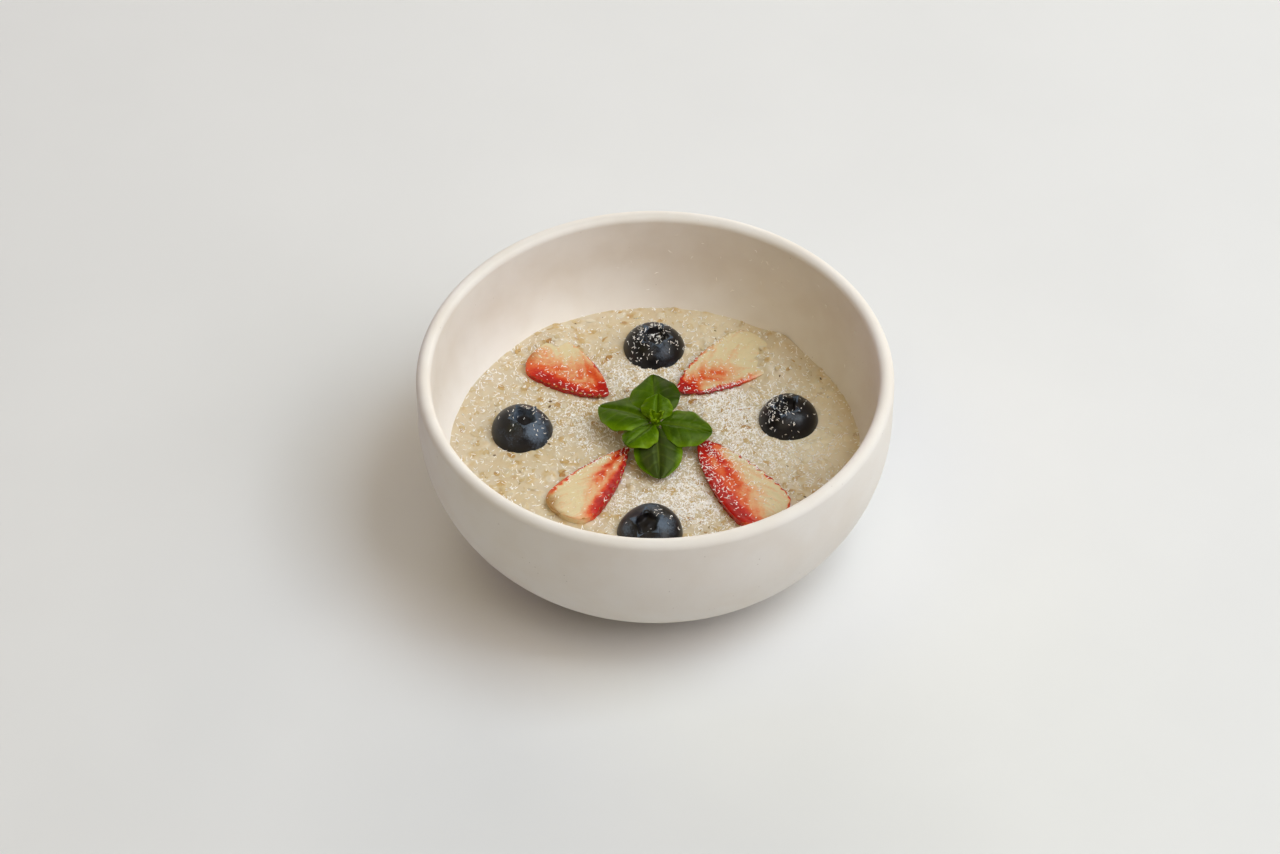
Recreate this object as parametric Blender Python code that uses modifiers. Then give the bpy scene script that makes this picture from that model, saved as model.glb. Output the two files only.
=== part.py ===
"""Bowl of porridge topped with blueberries, strawberry halves and a sprig of basil.

A matte stoneware bowl holds a solid of set oat porridge. Four blueberries and four
strawberry halves are pressed into the porridge, each in its own pocket, and a sprig
of six basil leaves stands on it in the middle. Units are metres, +Z is up, and the
origin is the centre of the foot on the table.
"""

import math
from dataclasses import dataclass

import bmesh
import bpy
from mathutils import Matrix, Vector, noise

MM = 0.001

# Bowl: a straight rim wall over a belly that is a quarter ellipse, on a low foot ring.
BOWL_RADIUS = 65.0 * MM
BOWL_HEIGHT = 53.5 * MM
RIM_THICKNESS = 4.1 * MM
BELLY_TOP = 40.0 * MM
FOOT_RADIUS = 33.5 * MM
FOOT_HEIGHT = 2.0 * MM
FOOT_WIDTH = 4.5 * MM
FOOT_EDGE = 0.5 * MM
FOOT_RECESS = 1.4 * MM
FLOOR_HEIGHT = 5.0 * MM
FLOOR_RADIUS = 33.5 * MM

TURNING_STEPS = 44
BELLY_STEPS = 8
INNER_STEPS = 7
LIP_STEPS = 6

# Porridge: fills the bowl up to its level, with a gently uneven top.
GAP = 0.3 * MM
PORRIDGE_LEVEL = 22.6 * MM
PORRIDGE_EDGE_DROP = 0.5 * MM
PORRIDGE_WAVE = 0.35 * MM
PORRIDGE_WAVE_LENGTH = 21.0 * MM
PORRIDGE_RINGS = 6
PORRIDGE_SIDE_STEPS = 5

# Blueberries: squat spheres with a five-pointed crown, sunk a little past their middle.
BERRY_SEGMENTS = 20
BERRY_RINGS = 11
BERRY_SQUASH = 0.81
BERRY_SINK = 0.9 * MM
CROWN_SHARE = 0.36
CROWN_DIP = 1.1 * MM
CROWN_LIP = 0.5 * MM
CROWN_POINTS = 5

# Strawberries: cut in half along their length and laid with the cut face up.
STRAWBERRY_SEGMENTS = 20
STRAWBERRY_RINGS = 14
SHOULDER_POWER = 14.0
WIDEST_SHARE = 0.86

# Basil: every leaf springs from the top of one short stem.
JOINT = Vector((0.3, 3.4, 29.6)) * MM
STEM_RADIUS = 0.9 * MM
STEM_SIDES = 8
LEAF_THICKNESS = 0.5 * MM
LEAF_LENGTH_STEPS = 7
LEAF_WIDTH_STEPS = 4
LEAF_STALK_SHARE = 0.10
LEAF_LEAN = 0.9
LEAF_ROUNDNESS = 0.55
LEAF_BASE_WIDTH = 1.2 * MM
LEAF_TIP_WIDTH = 0.7 * MM


@dataclass(frozen=True)
class Berry:
    """One blueberry: its place in plan, its width and the lean of its crown."""

    name: str
    x: float
    y: float
    width: float
    lean_deg: float
    lean_towards_deg: float


@dataclass(frozen=True)
class Strawberry:
    """One half strawberry: the place of its tip and how it lies in the porridge."""

    name: str
    tip_x: float
    tip_y: float
    heading_deg: float
    length: float
    width: float
    depth: float
    taper: float
    lift: float
    roll_deg: float


@dataclass(frozen=True)
class Leaf:
    """One basil leaf: its heading, size, and how it rises, droops and domes."""

    heading_deg: float
    length: float
    width: float
    rise_deg: float
    droop_deg: float
    dome: float
    roll_deg: float


BERRIES = (
    Berry("blueberry_back", -0.1 * MM, 39.8 * MM, 17.6 * MM, 6.0, -70.0),
    Berry("blueberry_left", -36.8 * MM, 7.4 * MM, 17.4 * MM, 8.0, -20.0),
    Berry("blueberry_right", 37.2 * MM, 12.0 * MM, 16.8 * MM, 7.0, 200.0),
    Berry("blueberry_front", -1.5 * MM, -31.4 * MM, 18.2 * MM, 9.0, 100.0),
)

STRAWBERRIES = (
    Strawberry("strawberry_back_left", -12.9 * MM, 19.3 * MM, 138.3,
               27.4 * MM, 16.2 * MM, 8.2 * MM, 0.7, 1.9 * MM, -3.0),
    Strawberry("strawberry_back_right", 6.6 * MM, 21.3 * MM, 38.0,
               31.4 * MM, 17.7 * MM, 8.6 * MM, 0.6, 1.8 * MM, 3.0),
    Strawberry("strawberry_front_left", -7.2 * MM, -0.8 * MM, -126.3,
               31.4 * MM, 15.6 * MM, 8.0 * MM, 0.8, 2.0 * MM, 4.0),
    Strawberry("strawberry_front_right", 12.6 * MM, 1.8 * MM, -56.5,
               35.6 * MM, 17.4 * MM, 8.6 * MM, 0.6, 2.1 * MM, -4.0),
)

LEAVES = (
    Leaf(92.0, 17.2 * MM, 14.4 * MM, 24.0, 38.0, 0.24, -10.0),
    Leaf(152.0, 17.6 * MM, 15.2 * MM, 12.0, 36.0, 0.18, 6.0),
    Leaf(-7.0, 15.6 * MM, 13.0 * MM, 8.0, 30.0, 0.24, 4.0),
    Leaf(-86.0, 17.4 * MM, 13.4 * MM, -8.0, 14.0, 0.18, 0.0),
    Leaf(-136.0, 11.4 * MM, 10.6 * MM, 12.0, 30.0, 0.24, 4.0),
    Leaf(86.0, 8.6 * MM, 8.8 * MM, 42.0, 40.0, 0.24, 0.0),
)


def clear_scene():
    """Remove whatever the scene holds at the start."""
    for item in list(bpy.data.objects):
        bpy.data.objects.remove(item, do_unlink=True)


def make_collection(name):
    """Return a new collection linked to the scene."""
    collection = bpy.data.collections.new(name)
    bpy.context.scene.collection.children.link(collection)
    return collection


def make_material(name, colour, roughness, metallic=0.0):
    """Return a Principled material with one colour and finish."""
    material = bpy.data.materials.new(name)
    material.use_nodes = True
    shader = material.node_tree.nodes["Principled BSDF"]
    shader.inputs["Base Color"].default_value = (*colour, 1.0)
    shader.inputs["Roughness"].default_value = roughness
    shader.inputs["Metallic"].default_value = metallic
    return material


def make_object(name, mesh, material, collection):
    """Wrap a mesh in a named object with its material."""
    item = bpy.data.objects.new(name, mesh)
    mesh.materials.append(material)
    collection.objects.link(item)
    return item


def mesh_from_bmesh(name, form):
    """Turn an edited form into a smooth mesh and free the form."""
    bmesh.ops.recalc_face_normals(form, faces=form.faces)
    mesh = bpy.data.meshes.new(name)
    form.to_mesh(mesh)
    form.free()
    mesh.shade_smooth()
    mesh.set_sharp_from_angle(angle=math.radians(40.0))
    return mesh


def mark_as_cutter(cutter):
    """Show a cutter as wire only and keep it out of renders."""
    cutter.hide_render = True
    cutter.display_type = "WIRE"


# Turned shapes

def quarter_ellipse_radius(height, start_radius, full_radius, low, high):
    """Radius at a height of a wall that curves from a flat floor to upright."""
    share = min(max((high - height) / (high - low), 0.0), 1.0)
    return start_radius + (full_radius - start_radius) * math.sqrt(1.0 - share * share)


def inner_wall_radius(height):
    """Radius of the bowl's inner wall at a height."""
    full = BOWL_RADIUS - RIM_THICKNESS
    return quarter_ellipse_radius(height, FLOOR_RADIUS, full, FLOOR_HEIGHT, BELLY_TOP)


def arc(centre_radius, centre_height, wide, tall, start_deg, end_deg, steps):
    """Points along an elliptical arc in the turning plane, ends included."""
    points = []
    for step in range(steps + 1):
        angle = math.radians(start_deg + (end_deg - start_deg) * step / steps)
        points.append((centre_radius + wide * math.cos(angle),
                       centre_height + tall * math.sin(angle)))
    return points


def bowl_profile():
    """Outline of the bowl from the inner floor over the lip down to the foot."""
    lip = RIM_THICKNESS / 2.0
    lip_height = BOWL_HEIGHT - lip
    inner = arc(FLOOR_RADIUS, BELLY_TOP, BOWL_RADIUS - RIM_THICKNESS - FLOOR_RADIUS,
                BELLY_TOP - FLOOR_HEIGHT, -90.0, 0.0, INNER_STEPS)
    top = arc(BOWL_RADIUS - lip, lip_height, lip, lip, 180.0, 0.0, LIP_STEPS)
    outer = arc(FOOT_RADIUS, BELLY_TOP, BOWL_RADIUS - FOOT_RADIUS,
                BELLY_TOP - FOOT_HEIGHT, 0.0, -90.0, BELLY_STEPS)
    foot_inner = FOOT_RADIUS - FOOT_WIDTH
    foot = [
        (FOOT_RADIUS, FOOT_EDGE),
        (FOOT_RADIUS - FOOT_EDGE, 0.0),
        (foot_inner + FOOT_EDGE, 0.0),
        (foot_inner, FOOT_EDGE),
        (foot_inner - FOOT_EDGE, FOOT_RECESS),
        (0.0, FOOT_RECESS),
    ]
    return [(0.0, FLOOR_HEIGHT)] + inner + top + outer + foot


def porridge_profile():
    """Outline of the porridge from the centre of its top down to its underside."""
    points = []
    edge_height = PORRIDGE_LEVEL - PORRIDGE_EDGE_DROP
    edge_radius = inner_wall_radius(edge_height) - GAP
    for ring in range(PORRIDGE_RINGS):
        points.append((edge_radius * ring / PORRIDGE_RINGS, PORRIDGE_LEVEL))
    wide = BOWL_RADIUS - RIM_THICKNESS - FLOOR_RADIUS - GAP
    tall = BELLY_TOP - FLOOR_HEIGHT - GAP
    start = -math.degrees(math.asin((BELLY_TOP - edge_height) / tall))
    side = arc(FLOOR_RADIUS, BELLY_TOP, wide, tall, start, -90.0, PORRIDGE_SIDE_STEPS)
    points.extend(side)
    points.append((0.0, FLOOR_HEIGHT + GAP))
    return points


def turned_object(name, profile, material, collection):
    """Turn an outline at +X about Z into a closed solid."""
    mesh = bpy.data.meshes.new(name)
    corners = [(radius, 0.0, height) for radius, height in profile]
    edges = [(index, index + 1) for index in range(len(corners) - 1)]
    mesh.from_pydata(corners, edges, [])
    item = make_object(name, mesh, material, collection)
    screw = item.modifiers.new("turn", "SCREW")
    screw.axis = "Z"
    screw.angle = math.tau
    screw.steps = TURNING_STEPS
    screw.render_steps = TURNING_STEPS
    screw.use_merge_vertices = True
    screw.merge_threshold = 0.00005
    screw.use_smooth_shade = True
    return item


def fix_modifiers(item):
    """Replace an object's mesh by its shape after modifiers."""
    graph = bpy.context.evaluated_depsgraph_get()
    mesh = bpy.data.meshes.new_from_object(item.evaluated_get(graph))
    item.modifiers.clear()
    item.data = mesh


# Blueberries

def berry_mesh(berry):
    """A squat sphere whose top is pulled into a crown with five points."""
    half_width = berry.width / 2.0
    half_height = half_width * BERRY_SQUASH
    form = bmesh.new()
    bmesh.ops.create_uvsphere(form, u_segments=BERRY_SEGMENTS, v_segments=BERRY_RINGS,
                              radius=1.0)
    for corner in form.verts:
        flat = math.hypot(corner.co.x, corner.co.y)
        turn = math.atan2(corner.co.y, corner.co.x)
        above = corner.co.z > 0.0
        corner.co = Vector((corner.co.x * half_width, corner.co.y * half_width,
                            corner.co.z * half_height))
        if not above:
            continue
        if flat < CROWN_SHARE:
            corner.co.z -= CROWN_DIP * (1.0 - flat / CROWN_SHARE)
        elif flat < 2.0 * CROWN_SHARE:
            fade = 2.0 - flat / CROWN_SHARE
            corner.co.z += CROWN_LIP * fade * (0.5 + 0.5 * math.cos(CROWN_POINTS * turn))
    return mesh_from_bmesh(berry.name, form)


def berry_place(berry):
    """Where a berry sits and how its crown leans."""
    towards = math.radians(berry.lean_towards_deg)
    tilt_axis = Vector((-math.sin(towards), math.cos(towards), 0.0))
    tilt = Matrix.Rotation(math.radians(berry.lean_deg), 4, tilt_axis)
    place = Matrix.Translation((berry.x, berry.y, PORRIDGE_LEVEL - BERRY_SINK))
    return place @ tilt


# Strawberry halves

def strawberry_outline(share, taper):
    """Half width along the length before scaling: a tapered tip and a round shoulder."""
    return (share * (2.0 - share)) ** taper * math.sqrt(max(1.0 - share ** SHOULDER_POWER, 0.0))


def strawberry_half_width(share, taper):
    """Half width of a strawberry, as a share of its greatest, along its length."""
    return strawberry_outline(share, taper) / strawberry_outline(WIDEST_SHARE, taper)


def strawberry_mesh(fruit):
    """A sphere drawn out to a strawberry along +X and cut through its middle."""
    form = bmesh.new()
    turn = Matrix.Rotation(math.radians(90.0), 4, "Y")
    bmesh.ops.create_uvsphere(form, u_segments=STRAWBERRY_SEGMENTS,
                              v_segments=STRAWBERRY_RINGS, radius=1.0, matrix=turn)
    for corner in form.verts:
        share = (corner.co.x + 1.0) / 2.0
        around = math.hypot(corner.co.y, corner.co.z)
        spread = strawberry_half_width(share, fruit.taper) / around if around > 1e-6 else 0.0
        corner.co = Vector((share * fruit.length,
                            corner.co.y * spread * fruit.width / 2.0,
                            corner.co.z * spread * fruit.depth))
    cut = bmesh.ops.bisect_plane(form, geom=form.verts[:] + form.edges[:] + form.faces[:],
                                 dist=1e-7, plane_co=(0.0, 0.0, 0.0),
                                 plane_no=(0.0, 0.0, 1.0), clear_outer=True)
    rim = [piece for piece in cut["geom_cut"] if isinstance(piece, bmesh.types.BMEdge)]
    bmesh.ops.contextual_create(form, geom=rim)
    return mesh_from_bmesh(fruit.name, form)


def strawberry_place(fruit):
    """Where a half strawberry lies, by its tip, heading and roll."""
    place = Matrix.Translation((fruit.tip_x, fruit.tip_y, PORRIDGE_LEVEL + fruit.lift))
    heading = Matrix.Rotation(math.radians(fruit.heading_deg), 4, "Z")
    roll = Matrix.Rotation(math.radians(fruit.roll_deg), 4, "X")
    return place @ heading @ roll


# Porridge

def porridge_wave(x, y):
    """Height of the porridge's gentle unevenness at a point, fading at the edge."""
    reach = math.hypot(x, y) / inner_wall_radius(PORRIDGE_LEVEL)
    fade = max(1.0 - reach ** 4, 0.0)
    spot = Vector((x, y, 0.0)) / PORRIDGE_WAVE_LENGTH
    return PORRIDGE_WAVE * fade * noise.noise(spot)


def make_porridge(material, collection):
    """Porridge up to its level, with an uneven top."""
    porridge = turned_object("porridge", porridge_profile(), material, collection)
    fix_modifiers(porridge)
    for corner in porridge.data.vertices:
        if corner.co.z > PORRIDGE_LEVEL - GAP:
            corner.co.z += porridge_wave(corner.co.x, corner.co.y)
    return porridge


def cut_pocket(porridge, fruit, cutters):
    """Cut the pocket of one fruit from the porridge, a small gap wider all round."""
    cutter = bpy.data.objects.new(fruit.name + "_pocket", fruit.data.copy())
    cutter.matrix_world = fruit.matrix_world
    cutters.objects.link(cutter)
    mark_as_cutter(cutter)
    grow = cutter.modifiers.new("grow", "DISPLACE")
    grow.strength = GAP
    grow.mid_level = 0.0
    pocket = porridge.modifiers.new(fruit.name + "_pocket", "BOOLEAN")
    pocket.operation = "DIFFERENCE"
    pocket.object = cutter


# Basil

def leaf_half_width(share, width):
    """Half width of a basil leaf along its length: a short stalk and a round blade."""
    inside = (share - LEAF_STALK_SHARE) / (1.0 - LEAF_STALK_SHARE)
    blade = math.sin(math.pi * inside ** LEAF_LEAN) ** LEAF_ROUNDNESS if 0.0 < inside < 1.0 else 0.0
    ends = LEAF_BASE_WIDTH + (LEAF_TIP_WIDTH - LEAF_BASE_WIDTH) * share
    return max(blade * width, ends) / 2.0


def leaf_mesh(name, leaf):
    """A leaf as a thin closed blade, with its base at the origin and its tip at +X."""
    form = bmesh.new()
    bmesh.ops.create_grid(form, x_segments=LEAF_LENGTH_STEPS, y_segments=LEAF_WIDTH_STEPS,
                          size=0.5)
    rise = math.radians(leaf.rise_deg)
    for corner in form.verts:
        share = corner.co.x + 0.5
        across = 2.0 * corner.co.y
        bend = math.radians(leaf.droop_deg) * share
        chord = rise - bend / 2.0
        along = leaf.length * share
        half = leaf_half_width(share, leaf.width)
        sag = leaf.dome * half * across * across
        corner.co = Vector((along * math.cos(chord) + sag * math.sin(rise - bend),
                            across * half,
                            along * math.sin(chord) - sag * math.cos(rise - bend)))
    return mesh_from_bmesh(name, form)


def thicken(item, thickness):
    """Give an open surface its thickness, evenly to both sides."""
    shell = item.modifiers.new("thickness", "SOLIDIFY")
    shell.thickness = thickness
    shell.offset = 0.0
    shell.use_even_offset = False


def make_sprig(material, collection, cutters):
    """Six leaves grown together with one short stem that stands on the porridge."""
    foot = PORRIDGE_LEVEL + PORRIDGE_WAVE + GAP
    height = JOINT.z - foot
    form = bmesh.new()
    bmesh.ops.create_cone(form, cap_ends=True, segments=STEM_SIDES, radius1=STEM_RADIUS,
                          radius2=STEM_RADIUS, depth=height)
    sprig = make_object("basil_sprig", mesh_from_bmesh("basil_sprig", form),
                        material, collection)
    sprig.location = (JOINT.x, JOINT.y, foot + height / 2.0)
    for number, leaf in enumerate(LEAVES, start=1):
        name = f"basil_leaf_{number}"
        blade = make_object(name, leaf_mesh(name, leaf), material, cutters)
        mark_as_cutter(blade)
        lowered = Vector((0.0, 0.0, LEAF_THICKNESS * 0.9))
        heading = Matrix.Rotation(math.radians(leaf.heading_deg), 4, "Z")
        roll = Matrix.Rotation(math.radians(leaf.roll_deg), 4, "X")
        blade.matrix_world = Matrix.Translation(JOINT - lowered) @ heading @ roll
        thicken(blade, LEAF_THICKNESS)
        join = sprig.modifiers.new(name, "BOOLEAN")
        join.operation = "UNION"
        join.object = blade
    return sprig


def build():
    """Make every piece of the bowl of porridge."""
    clear_scene()
    parts = make_collection("bowl_of_porridge")
    cutters = make_collection("cutters")
    stoneware = make_material("stoneware", (0.80, 0.76, 0.70), 0.62)
    oats = make_material("oats", (0.78, 0.68, 0.50), 0.45)
    berry_skin = make_material("berry_skin", (0.025, 0.035, 0.07), 0.42)
    red_flesh = make_material("red_flesh", (0.72, 0.12, 0.05), 0.35)
    leaf_green = make_material("leaf_green", (0.08, 0.22, 0.02), 0.40)

    turned_object("bowl", bowl_profile(), stoneware, parts)
    porridge = make_porridge(oats, parts)
    fruits = []
    for berry in BERRIES:
        item = make_object(berry.name, berry_mesh(berry), berry_skin, parts)
        item.matrix_world = berry_place(berry)
        fruits.append(item)
    for fruit in STRAWBERRIES:
        item = make_object(fruit.name, strawberry_mesh(fruit), red_flesh, parts)
        item.matrix_world = strawberry_place(fruit)
        fruits.append(item)
    for item in fruits:
        cut_pocket(porridge, item, cutters)
    make_sprig(leaf_green, parts, cutters)


build()
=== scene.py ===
"""The looks of a bowl of porridge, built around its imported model.

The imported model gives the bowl, the porridge, four blueberries, four strawberry halves and a
sprig of basil. A finer piece of the same size and place stands for each of them, and loose oat
flakes, strawberry seeds, bran specks and desiccated coconut are added. Units are metres, +Z is
up, and the origin is the centre of the foot.
"""

import logging
import math
from collections.abc import Callable, Iterator, Sequence
from contextlib import contextmanager
from dataclasses import dataclass
from enum import Enum

import bpy
import numpy as np
from mathutils import Matrix, Vector, noise
from mathutils.bvhtree import BVHTree


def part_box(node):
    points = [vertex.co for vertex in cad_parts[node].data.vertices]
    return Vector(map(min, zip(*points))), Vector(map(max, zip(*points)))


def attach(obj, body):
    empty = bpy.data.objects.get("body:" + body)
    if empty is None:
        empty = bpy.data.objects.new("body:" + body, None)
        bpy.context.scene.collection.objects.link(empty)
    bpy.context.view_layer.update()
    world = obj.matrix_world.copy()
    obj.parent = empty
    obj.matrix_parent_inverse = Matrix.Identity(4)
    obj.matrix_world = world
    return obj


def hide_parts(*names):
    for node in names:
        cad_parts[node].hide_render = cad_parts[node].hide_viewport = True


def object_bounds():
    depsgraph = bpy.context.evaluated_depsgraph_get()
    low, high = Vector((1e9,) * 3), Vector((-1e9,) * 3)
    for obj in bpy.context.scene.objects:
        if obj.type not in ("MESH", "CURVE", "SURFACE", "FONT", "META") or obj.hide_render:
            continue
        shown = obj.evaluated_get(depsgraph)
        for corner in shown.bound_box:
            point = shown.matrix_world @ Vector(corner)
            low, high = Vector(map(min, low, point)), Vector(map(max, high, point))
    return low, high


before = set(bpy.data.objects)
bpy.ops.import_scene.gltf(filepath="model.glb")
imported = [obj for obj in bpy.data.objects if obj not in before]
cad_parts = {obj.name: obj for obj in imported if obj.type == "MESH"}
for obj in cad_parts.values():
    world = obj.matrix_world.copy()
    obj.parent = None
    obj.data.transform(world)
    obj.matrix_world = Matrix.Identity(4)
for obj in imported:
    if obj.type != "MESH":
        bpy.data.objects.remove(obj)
CAD_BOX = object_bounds()

MM = 0.001
BODY = "root"
MERGE_REACH = 0.004 * MM
TURNING_REACH = 0.02 * MM
CRISP_ANGLE = 50.0
SMOOTH_ANGLE = 60.0
SOFT_ANGLE = 70.0

log = logging.getLogger("porridge")

Colour = tuple[float, float, float, float]
Move = Callable[[np.ndarray], np.ndarray]
Catching = dict[str, Callable[[Vector], float]]
Hit = tuple[str, Vector, Vector]


class Slot(Enum):
    """Names of the material slots."""

    STONEWARE = "stoneware"
    OATS = "oats"
    BERRY = "berry_skin"
    STRAWBERRY = "red_flesh"
    LEAF = "leaf_green"
    COCONUT = "coconut"


# Shader building

def tint(red: float, green: float, blue: float) -> Colour:
    """Turn a colour as a screen shows it into the linear colour that a shader takes.

    Args:
        red: Red from 0 to 255.
        green: Green from 0 to 255.
        blue: Blue from 0 to 255.

    Returns:
        The linear colour, opaque.
    """
    shares = [part / 255.0 for part in (red, green, blue)]
    linear = [share / 12.92 if share <= 0.04045 else ((share + 0.055) / 1.055) ** 2.4
              for share in shares]
    return (linear[0], linear[1], linear[2], 1.0)


class Value:
    """A socket of a material's nodes, on which sums are written as expressions."""

    def __init__(self, paint: "Paint", socket: bpy.types.NodeSocket) -> None:
        """Keep the socket and the paint that it belongs to."""
        self.paint = paint
        self.socket = socket

    def _sum(self, operation: str, first: "Value | float", second: "Value | float") -> "Value":
        """Add one Math node and return its result."""
        return self.paint.node("ShaderNodeMath", {"operation": operation}, {0: first, 1: second})

    def __add__(self, other: "Value | float") -> "Value":
        """This value plus another."""
        return self._sum("ADD", self, other)

    def __radd__(self, other: "Value | float") -> "Value":
        """Another value plus this one."""
        return self._sum("ADD", other, self)

    def __sub__(self, other: "Value | float") -> "Value":
        """This value less another."""
        return self._sum("SUBTRACT", self, other)

    def __rsub__(self, other: "Value | float") -> "Value":
        """Another value less this one."""
        return self._sum("SUBTRACT", other, self)

    def __mul__(self, other: "Value | float") -> "Value":
        """This value times another."""
        return self._sum("MULTIPLY", self, other)

    def between(self, low: float, high: float) -> "Value":
        """Ease from 0 at one level of this value to 1 at another.

        Args:
            low: Level that gives 0.
            high: Level that gives 1.

        Returns:
            The eased value, held between 0 and 1.
        """
        ends = {"Value": self, "From Min": low, "From Max": high}
        return self.paint.node("ShaderNodeMapRange", {"interpolation_type": "SMOOTHSTEP"}, ends)


class Paint:
    """One material under construction."""

    def __init__(self, name: str) -> None:
        """Start a material on a Principled shader.

        Args:
            name: Name of the material.
        """
        self.material = bpy.data.materials.new(name)
        self.material.use_nodes = True
        self.tree = self.material.node_tree
        self.shader = self.tree.nodes["Principled BSDF"]
        self.place = self.node("ShaderNodeTexCoord", {}, {}, "Object")

    def node(self, kind: str, settings: dict, inputs: dict, output: int | str = 0) -> Value:
        """Add a node, set it and feed its sockets.

        Args:
            kind: Type of the node.
            settings: The node's own settings; "stops" holds a ramp's places and colours.
            inputs: Values or links for its sockets, by name or number.
            output: The output that is wanted.

        Returns:
            The wanted output.
        """
        made = self.tree.nodes.new(kind)
        for name, value in settings.items():
            if name == "stops":
                self._set_stops(made.color_ramp, value)
            else:
                setattr(made, name, value)
        for key, value in inputs.items():
            self.feed(made.inputs[key], value)
        return Value(self, made.outputs[output])

    def _set_stops(self, ramp: bpy.types.ColorRamp, stops: Sequence[tuple[float, Colour]]) -> None:
        """Give a ramp its places and colours.

        Args:
            ramp: The ramp.
            stops: Place and colour of each stop.
        """
        while len(ramp.elements) < len(stops):
            ramp.elements.new(1.0)
        for element, (position, colour) in zip(ramp.elements, stops):
            element.position = position
            element.color = colour

    def feed(self, socket: bpy.types.NodeSocket, value: "Value | float | Sequence[float]") -> None:
        """Link a value to a socket, or set the socket to a number.

        Args:
            socket: The socket.
            value: A value to link, or a number or numbers to set.
        """
        if isinstance(value, Value):
            self.tree.links.new(value.socket, socket)
        else:
            socket.default_value = value

    def ramp(self, value: Value, stops: Sequence[tuple[float, Colour]]) -> Value:
        """Colour a value from 0 to 1 by a row of stops."""
        return self.node("ShaderNodeValToRGB", {"stops": stops}, {"Fac": value})

    def mix(self, share: "Value | float", first: "Value | Colour", second: "Value | Colour") -> Value:
        """Mix two colours by a share."""
        inputs = {0: share, 6: first, 7: second}
        return self.node("ShaderNodeMix", {"data_type": "RGBA"}, inputs, 2)

    def clouds(self, grain: float, detail: float = 2.0, roughness: float = 0.5) -> Value:
        """Noise over the piece.

        Args:
            grain: Size of its features in metres.
            detail: Number of finer layers.
            roughness: Strength of the finer layers.

        Returns:
            Noise from 0 to 1, around a half.
        """
        inputs = {"Vector": self.place, "Scale": 1.0 / grain, "Detail": detail,
                  "Roughness": roughness}
        return self.node("ShaderNodeTexNoise", {}, inputs)

    def dots(self, spacing: float) -> Value:
        """Distance to the nearest of many scattered dots, in shares of their spacing."""
        inputs = {"Vector": self.place, "Scale": 1.0 / spacing}
        return self.node("ShaderNodeTexVoronoi", {}, inputs)

    def values(self, name: str) -> Value:
        """Read numbers that the piece's mesh carries."""
        return self.node("ShaderNodeAttribute", {"attribute_name": name}, {}, "Fac")

    def relief(self, height: Value, depth: float, under: "Value | None" = None) -> Value:
        """Turn a height into a bumped normal.

        Args:
            height: Height from 0 to 1.
            depth: Depth in metres that a height of 1 stands for.
            under: A bumped normal that this one adds to.

        Returns:
            The bumped normal.
        """
        inputs = {"Height": height, "Distance": depth, "Strength": 1.0}
        if under is not None:
            inputs["Normal"] = under
        return self.node("ShaderNodeBump", {}, inputs)

    def finish(self, sockets: dict) -> bpy.types.Material:
        """Feed the Principled shader and return the material.

        Args:
            sockets: Values or links for the shader's sockets, by name.

        Returns:
            The finished material.
        """
        for name, value in sockets.items():
            self.feed(self.shader.inputs[name], value)
        return self.material


# Finishes

@dataclass(frozen=True)
class Stoneware:
    """Matte, faintly speckled off-white stoneware with a dry, pitted skin."""

    body: Colour = tint(237, 231, 223)
    # Painted light: the inner wall and floor take this lighter copy of the body colour, which
    # brightens the inside.
    inside: Colour = tint(243, 237, 229)
    warm: Colour = tint(230, 220, 207)
    speck: Colour = tint(150, 132, 112)
    roughness: float = 0.62
    blotch: float = 14 * MM
    pit_spacing: float = 2.6 * MM
    sand: float = 0.35 * MM
    sand_depth: float = 0.020 * MM
    ripple: float = 6 * MM
    ripple_depth: float = 0.10 * MM

    def make(self) -> bpy.types.Material:
        """Build the material.

        Returns:
            The material.
        """
        paint = Paint("stoneware")
        blotches = paint.clouds(self.blotch, 3.0).between(0.35, 0.75)
        chosen = paint.clouds(self.pit_spacing * 2.5, 0.0).between(0.60, 0.68)
        specks = (1.0 - paint.dots(self.pit_spacing).between(0.03, 0.10)) * chosen
        # Painted light: the inside mark switches the inner wall and floor to the lighter inside
        # colour.
        colour = paint.mix(paint.values("inside"), self.body, self.inside)
        colour = paint.mix(blotches * 0.50, colour, self.warm)
        colour = paint.mix(specks * 0.45, colour, self.speck)
        sand = paint.clouds(self.sand, 3.0, 0.65)
        ripples = paint.relief(paint.clouds(self.ripple, 1.0), self.ripple_depth)
        skin = paint.relief(sand - specks * 1.4, self.sand_depth, ripples)
        return paint.finish({
            "Base Color": colour,
            "Roughness": self.roughness + (sand - 0.5) * 0.16,
            "Normal": skin,
            "Specular IOR Level": 0.32,
        })


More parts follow.
